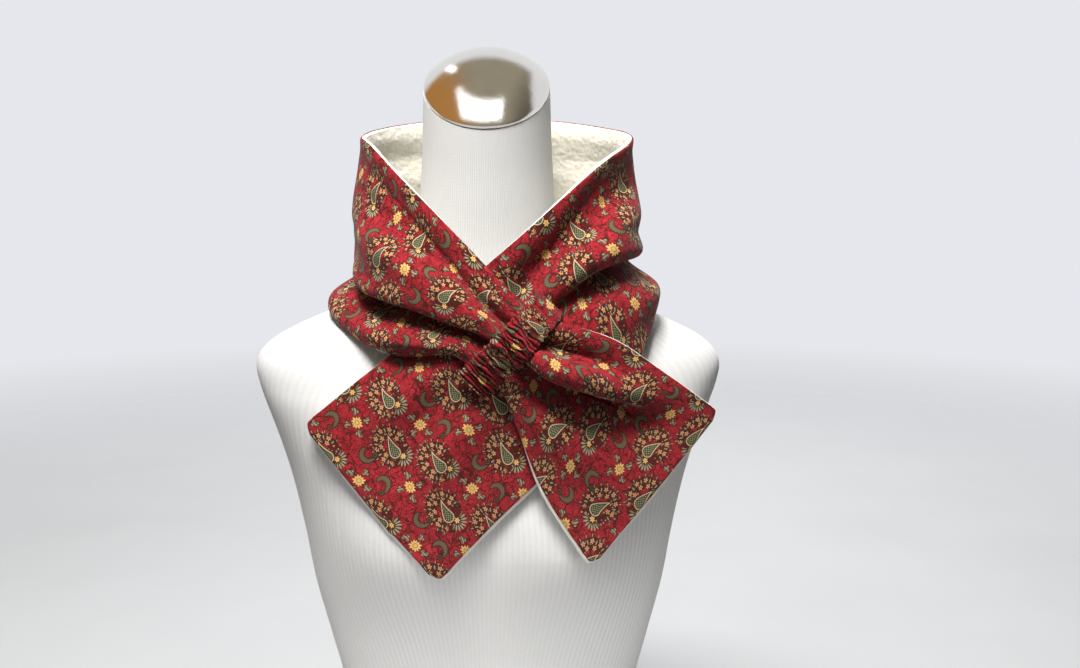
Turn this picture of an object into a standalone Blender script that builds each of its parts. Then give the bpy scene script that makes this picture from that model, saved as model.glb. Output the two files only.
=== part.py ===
"""A neck warmer on a limbless dress form.

The neck warmer is one long band of printed cotton, backed with thick boa fleece. It goes round the
neck, its two ends cross in front, and the upper end is drawn through a gathered elastic loop that is
sewn lengthwise on the lower end. Units are metres, +Z is up and the form faces -Y. The origin is on
the surface that the form stands on, below the middle of the part.
"""

import math
from collections import namedtuple

import bmesh
import bpy
import numpy as np
from mathutils import Vector
from mathutils.bvhtree import BVHTree

MM = 0.001

# Cloth
SHELL_THICKNESS = 0.0012
LINING_THICKNESS = 0.0040
SEAM_GAP = 0.0003
HEM_REACH = 0.0024
CORNER_RADIUS = 0.009

# Places of the cloth's columns across the band, from its lower edge at 0 to its upper edge at 1, where
# the low crease runs at LOW_COLUMN and the upper trough runs at HIGH_COLUMN
COLUMNS = (0, 0.06, 0.12, 0.17, 0.21, 0.24, 0.27, 0.30, 0.335, 0.38, 0.45, 0.54, 0.63, 0.71, 0.78, 0.85, 0.94, 1)
LOW_COLUMN = 0.27
HIGH_COLUMN = 0.78

# How far resting pieces stay apart
REST_GAP = 0.0005
LAYER_GAP = 0.0007
EDGE_REACH = 0.003
REST_REACH = 0.015
SETTLE_ROUNDS = 8
NORMAL_ROUNDS = 2

# Elastic loop: its size, and where the middle of each end is sewn down, seen from the front
LOOP_WIDTH = 0.031
LOOP_THICKNESS = 0.0018
LOOP_PUFF = 0.0022
LOOP_STEPS_PER_GATHER = 4
LOOP_LANES = 6
LOOP_GAP = 0.0009
LOOP_LOW_END = Vector((-0.010, 0.0, 0.429))
LOOP_HIGH_END = Vector((0.050, 0.0, 0.492))

# Zones of gathers along the loop, from its upper end at 0 to its lower end at 1
Gathers = namedtuple("Gathers", "start end count depth")
GATHERS = [
    Gathers(0.00, 0.26, 3, 0.25),
    Gathers(0.26, 0.52, 7, 1.00),
    Gathers(0.52, 0.74, 3, 0.55),
    Gathers(0.74, 1.00, 7, 1.00),
]

# Dress form
FORM_SIDES = 32
NECK_SLANT = math.radians(32)
SLANT_START = 0.560
CAP_INSET = 0.0010
CAP_RIM = 0.003
CAP_DOME = 0.021
CAP_SIDES = 40
BUST_OUT = 0.020
BUST_SIDE = 0.078
BUST_HEIGHT = 0.292
BUST_WIDTH = 0.058
BUST_TALL = 0.062

# Edges sharper than this are shaded as edges
SHARP_ANGLE = math.radians(50)

# The neck's axis lies this far behind the middle of the part
NECK_BACK = 0.0078

# Sections across the band, from the hem of its under end, round the neck, to the hem of its over end.
# Each has its upper edge and its lower edge in mm from the neck's axis, how far its middle bellies
# out in mm, how far in mm the fleece shows past its lower edge and its upper edge, and the number of
# steps to the next section.
Section = namedtuple("Section", "place upper lower belly reach steps")
SECTIONS = [
    Section("under end hem", (-143, -80, 391), (-36, -122, 277), 6, (2.4, 0.6), 4),
    Section("under end", (-85, -84, 440), (12, -117, 327), 5, (2.4, 0.5), 4),
    Section("under loop", (-47, -84, 474), (49, -112, 362), 4, (2.4, 0.5), 4),
    Section("crossing", (-11, -83, 507), (83, -102, 397), 5, (2.4, 0.8), 4),
    Section("right front", (28, -77, 540), (109, -86, 425), 8, (2.4, 1.8), 4),
    Section("right cheek", (63, -63, 570), (126, -64, 452), 8, (2.4, 2.4), 4),
    Section("right turn", (93, -38, 594), (133, -37, 471), 4, (2.4, 2.4), 3),
    Section("right corner", (112, -12, 606), (130, -10, 478), 2, (2.4, 2.4), 3),
    Section("right side", (116, 14, 612), (127, 21, 478), 2, (2.4, 2.4), 2),
    Section("right behind", (98, 52, 616), (110, 60, 475), 3, (2.4, 2.4), 2),
    Section("right nape", (56, 78, 621), (62, 86, 472), 3, (2.4, 2.4), 2),
    Section("centre back", (4, 86, 623), (3, 94, 471), 3, (2.4, 2.4), 2),
    Section("left nape", (-50, 78, 621), (-57, 86, 472), 3, (2.4, 2.4), 2),
    Section("left behind", (-88, 52, 616), (-101, 60, 473), 3, (2.4, 2.4), 2),
    Section("left side", (-102, 16, 611), (-119, 19, 473), 2, (2.4, 2.4), 3),
    Section("left turn", (-93, -12, 606), (-121, -14, 469), 3, (2.4, 2.4), 3),
    Section("left cheek", (-70, -38, 585), (-110, -46, 457), 8, (2.0, 2.4), 4),
    Section("left front", (-41, -62, 559), (-79, -79, 445), 11, (0.8, 2.0), 4),
    Section("above loop", (-8, -84, 528), (-45, -97, 446), 12, (0.5, 1.2), 4),
    Section("loop side", (20, -99, 501), (-20, -104, 447), 11, (0.5, 0.8), 3),
    Section("in loop", (43, -105, 485), (-3, -109, 437), 10, (0.5, 0.6), 4),
    Section("below loop", (64, -107, 477), (14, -112, 425), 10, (0.5, 0.6), 4),
    Section("over end flare", (98, -106, 465), (26, -117, 397), 8, (0.8, 0.6), 4),
    Section("over end", (138, -102, 438), (44, -124, 353), 4, (2.4, 0.6), 4),
    Section("over end hem", (182, -93, 405), (83, -129, 292), 2, (2.4, 0.6), 0),
]

# Sections where the collar's back joins the under end and the over end
RIGHT_JOIN = 8
LEFT_JOIN = 14

# Folds that run along the band. Each is a path of points: a section number, a height across the band,
# a depth in mm, which is out of the cloth for a ridge and into it for a trough, and a width in mm of
# cloth. Lean is how far in mm the fold's bottom lies higher than its mouth, so that cloth hangs over it.
Fold = namedtuple("Fold", "name lean path")
LOW_CREASE = Fold("low crease", 12, (
    (0.0, 0.27, 0, 13), (3.1, 0.52, 0, 12), (4.0, 0.54, -11, 12), (5.0, 0.46, -16, 12), (6.0, 0.31, -18, 12),
    (7.0, 0.24, -15, 12), (8.0, 0.21, -11, 12), (9.5, 0.20, -5, 13), (11.0, 0.19, 0, 13), (13.0, 0.18, -7, 12),
    (14.0, 0.17, -15, 12), (15.0, 0.165, -22, 12), (16.0, 0.185, -23, 13), (17.0, 0.25, -21, 14),
    (18.0, 0.29, -17, 17), (19.0, 0.30, -12, 20), (20.0, 0.29, -11, 20), (21.0, 0.28, -14, 20),
    (22.0, 0.34, -22, 18), (22.5, 0.45, -22, 19), (23.0, 0.57, -16, 20), (23.7, 0.66, -3, 20),
    (24.0, 0.66, 0, 19)))
UPPER_TROUGH = Fold("upper trough", 2, (
    (0.0, 0.78, 0, 15), (2.6, 0.74, 0, 15), (3.0, 0.75, -6, 15), (4.0, 0.80, -11, 15), (5.0, 0.85, -11, 15),
    (6.0, 0.87, -8, 15), (7.0, 0.85, -5, 15), (8.0, 0.82, 0, 15), (11.0, 0.78, 0, 15), (14.0, 0.84, 0, 13),
    (15.0, 0.85, -5, 13), (16.0, 0.85, -8, 13), (17.0, 0.83, -10, 13), (18.0, 0.78, -10, 13),
    (19.0, 0.71, -11, 13), (20.0, 0.69, -10, 13), (21.0, 0.72, -11, 13), (22.0, 0.78, -8, 13),
    (23.0, 0.82, -2, 13), (24.0, 0.82, 0, 13)))
FOLDS = [
    LOW_CREASE,
    UPPER_TROUGH,
    Fold("low roll of the over end", 0, (
        (11.0, 0.07, 0, 11), (13.0, 0.07, 6, 11), (14.0, 0.07, 11, 11), (15.0, 0.07, 12, 11),
        (16.0, 0.08, 9, 11), (17.0, 0.11, 6, 12), (18.0, 0.13, 4, 12), (19.0, 0.12, 2, 13),
        (20.0, 0.11, 2, 13), (21.0, 0.10, 3, 13), (22.0, 0.13, 4, 13), (23.0, 0.28, 3, 15),
        (23.8, 0.3, 0, 15))),
    Fold("waist of the left collar", 0, (
        (12.0, 0.34, 0, 24), (14.0, 0.34, -6, 24), (15.0, 0.36, -8, 24), (16.0, 0.40, -3, 24),
        (17.0, 0.48, 0, 24))),
    Fold("tube of the over end", 0, (
        (15.2, 0.60, 0, 20), (16.0, 0.54, 4, 20), (17.0, 0.54, 5, 20), (18.0, 0.54, 3, 20),
        (19.0, 0.50, 2, 20), (20.0, 0.48, 2, 20), (21.0, 0.48, 3, 20), (22.0, 0.58, 5, 20),
        (23.0, 0.86, 3, 20), (23.8, 0.90, 0, 20))),
    Fold("edge tucked under the left lobe", 0, (
        (15.3, 0.0, 0, 12), (16.2, 0.0, -5, 12), (17.0, 0.0, -9, 13), (18.0, 0.01, -8, 13),
        (19.0, 0.02, -4, 13), (20.0, 0.02, 0, 13))),
    Fold("hollow above the right crease", 0, (
        (20.3, 0.37, 0, 15), (21.0, 0.37, -4, 15), (22.0, 0.43, -8, 16), (22.5, 0.55, -7, 17),
        (23.0, 0.68, -4, 18), (23.8, 0.74, 0, 18))),
    Fold("low roll of the under end", 0, (
        (4.0, 0.26, 0, 15), (5.0, 0.23, 4, 15), (6.0, 0.12, 8, 14), (7.0, 0.09, 11, 13), (8.0, 0.08, 11, 13),
        (9.0, 0.07, 7, 13), (11.0, 0.07, 0, 13))),
    Fold("waist of the right collar", 0, (
        (5.0, 0.55, 0, 24), (6.0, 0.44, -3, 24), (7.0, 0.38, -4, 24), (8.0, 0.36, -3, 24),
        (10.0, 0.36, 0, 24))),
    Fold("middle ridge of the under end", 0, (
        (3.4, 0.64, 0, 18), (4.0, 0.66, 3, 18), (5.0, 0.63, 4, 18), (6.0, 0.58, 4, 18), (7.0, 0.56, 3, 18),
        (8.0, 0.56, 0, 18))),
    Fold("place where the over end presses", 0, (
        (0.7, 0.98, 0, 20), (1.4, 0.98, -8, 20), (2.5, 0.98, -9, 20), (3.4, 0.98, 0, 20))),
    Fold("soft wave of the under end", 0, (
        (0.4, 0.30, 0, 20), (1.0, 0.34, 2, 20), (1.8, 0.40, 3, 20), (2.6, 0.46, 0, 20))),
]

# Rings round the dress form: height, half width, front and back in mm from the neck's axis, and how
# square the ring is (2 for an ellipse).
Ring = namedtuple("Ring", "height half_width front back square")
RINGS = [
    Ring(0, 158, -88, 112, 2.2),
    Ring(4, 160, -90, 114, 2.2),
    Ring(40, 152, -86, 112, 2.2),
    Ring(80, 131, -77, 100, 2.2),
    Ring(112, 121, -73, 90, 2.2),
    Ring(150, 124, -78, 88, 2.2),
    Ring(200, 136, -90, 92, 2.2),
    Ring(245, 147, -100, 97, 2.2),
    Ring(292, 155, -107, 101, 2.2),
    Ring(335, 164, -105, 103, 2.3),
    Ring(370, 174, -98, 105, 2.5),
    Ring(398, 184, -89, 105, 2.6),
    Ring(415, 190, -82, 104, 2.5),
    Ring(428, 192, -76, 102, 2.4),
    Ring(438, 188, -72, 100, 2.3),
    Ring(447, 178, -69, 98, 2.2),
    Ring(456, 162, -67, 95, 2.1),
    Ring(465, 142, -65, 91, 2.0),
    Ring(474, 120, -63, 86, 2.0),
    Ring(484, 98, -61, 79, 2.0),
    Ring(495, 80, -59, 71, 2.0),
    Ring(508, 67, -57, 64, 2.0),
    Ring(525, 59.5, -55, 57, 2.0),
    Ring(550, 56.5, -53, 54, 2.0),
    Ring(590, 53.5, -51, 52, 2.0),
    Ring(651, 51.5, -50, 50, 2.0),
]

# Finishes: base colour, roughness and metallic value
Finish = namedtuple("Finish", "name color roughness metallic")
PRINTED_COTTON = Finish("printed_cotton", (0.30, 0.012, 0.020, 1.0), 0.80, 0.0)
BOA_FLEECE = Finish("boa_fleece", (0.83, 0.80, 0.72, 1.0), 0.95, 0.0)
WHITE_JERSEY = Finish("white_jersey", (0.86, 0.86, 0.85, 1.0), 0.85, 0.0)
POLISHED_CHROME = Finish("polished_chrome", (0.80, 0.80, 0.82, 1.0), 0.08, 1.0)


def clear_scene():
    for thing in list(bpy.data.objects):
        bpy.data.objects.remove(thing, do_unlink=True)


def make_material(name, finish):
    material = bpy.data.materials.new(f"{name}_{finish.name}")
    material.use_nodes = True
    shader = material.node_tree.nodes["Principled BSDF"]
    shader.inputs["Base Color"].default_value = finish.color
    shader.inputs["Roughness"].default_value = finish.roughness
    shader.inputs["Metallic"].default_value = finish.metallic
    return material


def spline(knots, values, at):
    """A smooth curve through the values, which keeps its tangents local."""
    knots = np.asarray(knots, float)
    values = np.asarray(values, float)
    slopes = np.gradient(values, knots, axis=0)
    at = np.clip(at, knots[0], knots[-1])
    i = np.clip(np.searchsorted(knots, at, side="right") - 1, 0, len(knots) - 2)
    span = knots[i + 1] - knots[i]
    x = (at - knots[i]) / span
    shape = (-1,) + (1,) * (values.ndim - 1)
    x, span = x.reshape(shape), span.reshape(shape)
    return (
        values[i] * (2 * x**3 - 3 * x**2 + 1)
        + values[i + 1] * (3 * x**2 - 2 * x**3)
        + slopes[i] * span * (x**3 - 2 * x**2 + x)
        + slopes[i + 1] * span * (x**3 - x**2)
    )


def unit(vectors):
    return vectors / np.maximum(np.linalg.norm(vectors, axis=-1, keepdims=True), 1e-12)


def smooth_step(x):
    x = np.clip(x, 0.0, 1.0)
    return x * x * (3 - 2 * x)


class Band:
    """The cloth band's middle surface, where the printed shell meets the fleece."""

    def __init__(self):
        self.upper = np.array([s.upper for s in SECTIONS], float) * MM
        self.lower = np.array([s.lower for s in SECTIONS], float) * MM
        self.belly = np.array([s.belly for s in SECTIONS], float) * MM
        self.reach = np.array([s.reach for s in SECTIONS], float) * MM
        middle = (self.upper + self.lower) / 2
        steps = np.linalg.norm(np.diff(middle, axis=0), axis=1)
        self.knots = np.concatenate([[0.0], np.cumsum(steps)])
        self.length = self.knots[-1]
        self.width = float(np.linalg.norm(self.upper[0] - self.lower[0]))

    def along(self, number):
        """The distance along the band of a section number, which may lie between two sections."""
        return np.interp(number, np.arange(len(SECTIONS)), self.knots)

    def plain(self, distance, height):
        """The band without its folds: points for arrays of distances and heights of equal shape."""
        shape = distance.shape
        s, t = distance.ravel(), height.ravel()
        upper = spline(self.knots, self.upper, s)
        lower = spline(self.knots, self.lower, s)
        belly = spline(self.knots, self.belly, s)
        nudge = 0.002
        ahead = spline(self.knots, (self.upper + self.lower) / 2, s + nudge)
        behind = spline(self.knots, (self.upper + self.lower) / 2, s - nudge)
        out = unit(np.cross(unit(ahead - behind), unit(upper - lower)))
        points = lower + (upper - lower) * t[:, None]
        points += out * (belly * 4 * t * (1 - t))[:, None]
        return points.reshape(*shape, 3)

    def fold_at(self, fold, distance):
        """A fold's height, depth in mm and width in mm of cloth at each distance along the band."""
        path = np.array(fold.path, float)
        return spline(self.along(path[:, 0]), path[:, 1:], distance.ravel()).T.reshape(3, *distance.shape)

    def grid(self, distances):
        """Distances and heights of a grid whose columns follow the low crease and the upper trough."""
        low = self.fold_at(LOW_CREASE, distances)[0]
        high = self.fold_at(UPPER_TROUGH, distances)[0]
        marks = (0, LOW_COLUMN, HIGH_COLUMN, 1)
        height = np.array([np.interp(COLUMNS, marks, (0, a, b, 1)) for a, b in zip(low, high, strict=True)])
        inset = self.corner_inset(distances)[:, None]
        return np.repeat(distances[:, None], len(COLUMNS), axis=1), inset + (1 - 2 * inset) * height

    def corner_inset(self, distances):
        """How far across the band the rounded corners of its two hems draw each row in."""
        past = np.maximum(CORNER_RADIUS - np.minimum(distances, self.length - distances), 0)
        return (CORNER_RADIUS - np.sqrt(np.maximum(CORNER_RADIUS**2 - past**2, 0))) / self.width

    def folded(self, distance, height):
        points = self.plain(distance, height)
        out = grid_normals(points)
        across = points[:, -1:] - points[:, :1]
        up = unit(across)
        scale = np.linalg.norm(across, axis=2) / self.width
        for fold in FOLDS:
            place, depth, width = self.fold_at(fold, distance)
            bell = np.exp(-(((height - place) * self.width / (width * MM)) ** 2))
            deepest = max(abs(row[2]) for row in fold.path)
            lean = fold.lean * MM * np.abs(depth) / deepest * scale
            points += out * (depth * MM * bell)[..., None] + up * (lean * bell)[..., None]
        return points


def grid_normals(points):
    """Directions out of the cloth, evened out a little so that walls don't cross in a tight crease."""
    along = np.gradient(points, axis=0)
    across = np.gradient(points, axis=1)
    normals = unit(np.cross(along, across))
    for _ in range(NORMAL_ROUNDS):
        padded = np.pad(normals, ((0, 0), (1, 1), (0, 0)), mode="edge")
        normals = unit(padded[:, :-2] + 2 * normals + padded[:, 2:])
    return normals


def row_distances(band):
    """Distances of the cloth's rows along the band, and the rows at which its stretches join."""
    numbers = []
    for i, section in enumerate(SECTIONS[:-1]):
        numbers += [i + k / section.steps for k in range(section.steps)]
    corner = np.array([1 - math.sqrt(0.5), 1]) * CORNER_RADIUS
    distances = np.sort([*band.along(numbers), *corner, *(band.length - corner), band.length])
    joins = np.searchsorted(distances, band.along([RIGHT_JOIN, LEFT_JOIN]) - 1e-6)
    return distances, joins


def stretch(grid, first, last, tangents):
    """The rows of a grid from first to last, drawn back a little from the stretches beside it."""
    rows = grid[first : last + 1].copy()
    if first > 0:
        rows[0] += tangents[first] * SEAM_GAP / 2
    if last < len(grid) - 1:
        rows[-1] -= tangents[last] * SEAM_GAP / 2
    return rows


def sheet_tree(points):
    """A search tree over an open grid of points."""
    rows, columns = points.shape[:2]
    corners = [Vector(p) for p in points.reshape(-1, 3)]
    faces = []
    for i in range(rows - 1):
        for j in range(columns - 1):
            a = i * columns + j
            b = a + columns
            faces.append((a, b, b + 1))
            faces.append((a, b + 1, a + 1))
    return BVHTree.FromPolygons(corners, faces)


def midpoints(grid):
    """The same grid with a point added halfway between each pair of neighbours."""
    rows, columns = grid.shape[:2]
    fine = np.zeros((2 * rows - 1, 2 * columns - 1, 3))
    fine[::2, ::2] = grid
    fine[1::2, ::2] = (grid[:-1] + grid[1:]) / 2
    fine[:, 1::2] = (fine[:, :-2:2] + fine[:, 2::2]) / 2
    return fine


def blurred(grid):
    padded = np.pad(grid, ((1, 1), (1, 1), (0, 0)), mode="edge")
    return sum(padded[i : i + len(grid), j : j + grid.shape[1]] for i in range(3) for j in range(3)) / 9


def larger(one, other):
    """The longer of each pair of vectors."""
    longer = np.linalg.norm(other, axis=-1) > np.linalg.norm(one, axis=-1)
    return np.where(longer[..., None], other, one)


def lifts(back, tree, gap):
    """How far each point of a grid has to move to be clear of the tree's surface."""
    fine = midpoints(back)
    push = np.zeros_like(fine)
    for place in np.ndindex(fine.shape[:2]):
        point = Vector(fine[place])
        under, normal, _, far = tree.find_nearest(point)
        rise = (point - under).dot(normal)
        sideways = math.sqrt(max(far * far - rise * rise, 0.0))
        if rise < gap and sideways < REST_REACH:
            share = 1 - smooth_step((sideways - EDGE_REACH) / (REST_REACH - EDGE_REACH))
            push[place] = np.array(normal) * (gap - rise) * share
    rows, columns = back.shape[:2]
    most = np.zeros_like(back)
    for i in range(-1, 2):
        for j in range(-1, 2):
            row = np.clip(np.arange(rows) * 2 + i, 0, 2 * rows - 2)
            column = np.clip(np.arange(columns) * 2 + j, 0, 2 * columns - 2)
            most = larger(most, push[np.ix_(row, column)])
    return larger(most, blurred(blurred(most)))


def settle(points, reach, first, tree, gap):
    """Lifts the cloth, from its row number first on, until its fleece is clear of what lies under it."""
    for _ in range(SETTLE_ROUNDS):
        push = lifts(lining_faces(points, reach)[1][first:], tree, gap)
        if np.abs(push).max() < 1e-5:
            break
        push[:, 1] = larger(push[:, 1], push[:, 0])
        push[:, -2] = larger(push[:, -2], push[:, -1])
        push[1] = larger(push[1], push[0])
        push[-2] = larger(push[-2], push[-1])
        points = points.copy()
        points[first:] += push[1:-1, 1:-1]
    return points


def lining_faces(points, reach):
    """The fleece's two faces. Each has one row and one column more at each edge, past the shell."""
    normals = grid_normals(points)
    faces = []
    for depth in (SEAM_GAP, SEAM_GAP + LINING_THICKNESS):
        face = points - normals * depth
        low = face[:, :1] + unit(face[:, :1] - face[:, 1:2]) * reach[:, None, :1]
        high = face[:, -1:] + unit(face[:, -1:] - face[:, -2:-1]) * reach[:, None, 1:]
        face = np.concatenate([low, face, high], axis=1)
        first = face[:1] + unit(face[:1] - face[1:2]) * HEM_REACH
        last = face[-1:] + unit(face[-1:] - face[-2:-1]) * HEM_REACH
        faces.append(np.concatenate([first, face, last]))
    return faces


def add_object(name, mesh, finish, collection):
    thing = bpy.data.objects.new(name, mesh)
    collection.objects.link(thing)
    mesh.materials.append(make_material(name, finish))
    return thing


def centred(points):
    """From the neck's axis to the part's own origin."""
    return points + np.array([0.0, NECK_BACK, 0.0])


def form_ring_points():
    """Rings of points round the dress form, from the base to the slanted neck."""
    table = np.array([(r.height, r.half_width, r.front, r.back, r.square) for r in RINGS], float)
    heights = table[:, 0] * MM
    angles = np.arange(FORM_SIDES) * 2 * math.pi / FORM_SIDES
    rings = []
    for height, half_width, front, back, square in zip(heights, *table.T[1:], strict=True):
        c, s = np.cos(angles), np.sin(angles)
        x = np.sign(c) * np.abs(c) ** (2 / square) * half_width * MM
        depth = np.where(s < 0, -front, back) * MM
        y = np.sign(s) * np.abs(s) ** (2 / square) * depth
        lobes = np.exp(-(((np.abs(x) - BUST_SIDE) / BUST_WIDTH) ** 2))
        lobes *= np.exp(-(((height - BUST_HEIGHT) / BUST_TALL) ** 2))
        y -= BUST_OUT * lobes * np.clip(-s, 0, 1)
        slant = math.tan(NECK_SLANT) * smooth_step((height - SLANT_START) / (heights[-1] - SLANT_START))
        rings.append(np.stack([x, y, height + slant * y], axis=1))
    return np.array(rings)


def make_form(collection):
    rings = form_ring_points()
    points = centred(rings)
    count = len(rings)
    faces = []
    for i in range(count - 1):
        for j in range(FORM_SIDES):
            a, b = i * FORM_SIDES + j, i * FORM_SIDES + (j + 1) % FORM_SIDES
            faces.append((a, b, b + FORM_SIDES, a + FORM_SIDES))
    faces.append(tuple(reversed(range(FORM_SIDES))))
    faces.append(tuple(range((count - 1) * FORM_SIDES, count * FORM_SIDES)))
    mesh = bpy.data.meshes.new("dress_form")
    mesh.from_pydata([tuple(p) for p in points.reshape(-1, 3)], [], faces)
    mesh.shade_smooth()
    mesh.set_sharp_from_angle(angle=SHARP_ANGLE)
    return add_object("dress_form", mesh, WHITE_JERSEY, collection)


def form_tree():
    """A search tree over the dress form's sides, about the neck's axis."""
    rings = form_ring_points()
    count = len(rings)
    faces = []
    for i in range(count - 1):
        for j in range(FORM_SIDES):
            a, b = i * FORM_SIDES + j, i * FORM_SIDES + (j + 1) % FORM_SIDES
            faces.append((a, b, b + FORM_SIDES))
            faces.append((a, b + FORM_SIDES, a + FORM_SIDES))
    return BVHTree.FromPolygons([Vector(p) for p in rings.reshape(-1, 3)], faces)


def make_cap(collection):
    """The polished dome that closes the slanted neck: a turned profile, stretched to the cut."""
    top = RINGS[-1]
    radius = top.half_width * MM - CAP_INSET
    dome_steps = 6
    sphere = (radius**2 + CAP_DOME**2) / (2 * CAP_DOME)
    opening = math.asin(radius / sphere)
    profile = []
    for k in range(dome_steps + 1):
        angle = opening * k / dome_steps
        profile.append((sphere * math.sin(angle), CAP_RIM + CAP_DOME - sphere * (1 - math.cos(angle))))
    profile.append((radius, 0.0))
    profile.append((0.0, 0.0))
    mesh = bpy.data.meshes.new("neck_cap")
    mesh.from_pydata([(r, 0.0, z) for r, z in profile], [(k, k + 1) for k in range(len(profile) - 1)], [])
    thing = add_object("neck_cap", mesh, POLISHED_CHROME, collection)
    turn = thing.modifiers.new("Turn", "SCREW")
    turn.steps = turn.render_steps = CAP_SIDES
    turn.use_merge_vertices = True
    turn.merge_threshold = 0.0001
    turn.use_smooth_shade = True
    depth = (top.back - top.front) / 2 * MM / math.cos(NECK_SLANT) - CAP_INSET
    thing.scale = (1.0, depth / radius, 1.0)
    thing.rotation_euler = (NECK_SLANT, 0.0, 0.0)
    lift = Vector((0.0, -math.sin(NECK_SLANT), math.cos(NECK_SLANT))) * SEAM_GAP
    middle = (top.back + top.front) / 2 * MM
    seat = Vector((0.0, middle + NECK_BACK, top.height * MM + math.tan(NECK_SLANT) * middle))
    thing.location = seat + lift
    return thing


def upper_hull(across, height):
    """The taut line over a profile, as a stretched elastic lies on it."""
    keep = []
    for point in zip(across, height, strict=True):
        while len(keep) > 1:
            (ax, ay), (bx, by) = keep[-2], keep[-1]
            if (bx - ax) * (point[1] - ay) - (by - ay) * (point[0] - ax) >= 0:
                keep.pop()
            else:
                break
        keep.append(point)
    return np.interp(across, *zip(*keep, strict=True))


def front_of(trees, x, z):
    """The foremost surface at a place seen from the front."""
    found = 0.0
    for tree in trees:
        place, _, _, _ = tree.ray_cast(Vector((x, -0.5, z)), Vector((0, 1, 0)))
        if place is not None:
            found = min(found, place.y)
    return found


def gather_waves(count):
    """How far the loop's gathers puff out along it, from its upper end, with each zone's own pitch."""
    share = np.linspace(0, 1, count)
    starts = [zone.start for zone in GATHERS] + [1.0]
    turns = np.cumsum([0] + [zone.count for zone in GATHERS])
    depths = [zone.depth for zone in GATHERS]
    middles = [(zone.start + zone.end) / 2 for zone in GATHERS]
    phase = np.interp(share, starts, turns)
    return (0.5 - 0.5 * np.cos(2 * math.pi * phase)) * np.interp(share, middles, depths)


def make_loop(trees, collection):
    """The gathered elastic loop, drawn taut over the upper end and sewn down at both ends."""
    count = sum(zone.count for zone in GATHERS) * LOOP_STEPS_PER_GATHER + 1
    run = LOOP_LOW_END - LOOP_HIGH_END
    side = Vector((run.z, 0, -run.x)).normalized()
    share = np.linspace(0, 1, count)
    lanes = np.linspace(-0.5, 0.5, LOOP_LANES + 1)
    fine_share = np.linspace(0, 1, 2 * count - 1)
    fine_lanes = np.linspace(-0.5, 0.5, 2 * LOOP_LANES + 1)
    fine = np.zeros((len(fine_share), len(fine_lanes)))
    for i, a in enumerate(fine_share):
        for j, lane in enumerate(fine_lanes):
            place = LOOP_HIGH_END + run * a + side * (lane * LOOP_WIDTH)
            fine[i, j] = -front_of(trees, place.x, place.z)
    padded = np.pad(fine, 1, mode="edge")
    ground = np.max([padded[i : i + fine.shape[0] : 2, j : j + fine.shape[1] : 2]
                     for i in range(3) for j in range(3)], axis=0)
    crest = ground.max(axis=1)
    crest[0], crest[-1] = ground[0].mean(), ground[-1].mean()
    taut = np.maximum(upper_hull(share * run.length, crest)[:, None], ground) + LOOP_GAP
    waves = gather_waves(count)
    inner = np.zeros((count, len(lanes), 3))
    outer = np.zeros((count, len(lanes), 3))
    for i, a in enumerate(share):
        for j, lane in enumerate(lanes):
            rounding = 1 - abs(2 * lane) ** 4
            width = LOOP_WIDTH * (0.92 + 0.08 * waves[i])
            place = LOOP_HIGH_END + run * a + side * (lane * width)
            inner[i, j] = (place.x, -taut[i, j], place.z)
            rise = LOOP_THICKNESS * (0.6 + 0.4 * rounding) + LOOP_PUFF * waves[i] * (0.4 + 0.6 * rounding)
            outer[i, j] = (place.x, -taut[i, j] - rise, place.z)
    return closed_wall("elastic_loop", centred(outer), centred(inner), PRINTED_COTTON, collection)


def closed_wall(name, outer, inner, finish, collection):
    """One closed solid between two grids of points, with the same diagonals on both so that it keeps
    its thickness where it twists."""
    rows, columns = outer.shape[:2]
    points = [tuple(p) for p in np.concatenate([outer.reshape(-1, 3), inner.reshape(-1, 3)])]
    shift = rows * columns
    faces = []
    for i in range(rows - 1):
        for j in range(columns - 1):
            a = i * columns + j
            b = a + columns
            faces += [(a, b, b + 1), (a, b + 1, a + 1)]
            faces += [(a + shift, b + 1 + shift, b + shift), (a + shift, a + 1 + shift, b + 1 + shift)]
    rim = [i * columns for i in range(rows)]
    rim += [(rows - 1) * columns + j for j in range(1, columns)]
    rim += [i * columns + columns - 1 for i in range(rows - 2, -1, -1)]
    rim += list(range(columns - 2, 0, -1))
    for a, b in zip(rim, rim[1:] + rim[:1], strict=True):
        faces.append((b, a, a + shift, b + shift))
    mesh = bpy.data.meshes.new(name)
    mesh.from_pydata(points, [], faces)
    solid = bmesh.new()
    solid.from_mesh(mesh)
    bmesh.ops.recalc_face_normals(solid, faces=solid.faces)
    solid.to_mesh(mesh)
    solid.free()
    mesh.shade_smooth()
    mesh.set_sharp_from_angle(angle=SHARP_ANGLE)
    return add_object(name, mesh, finish, collection)


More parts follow.
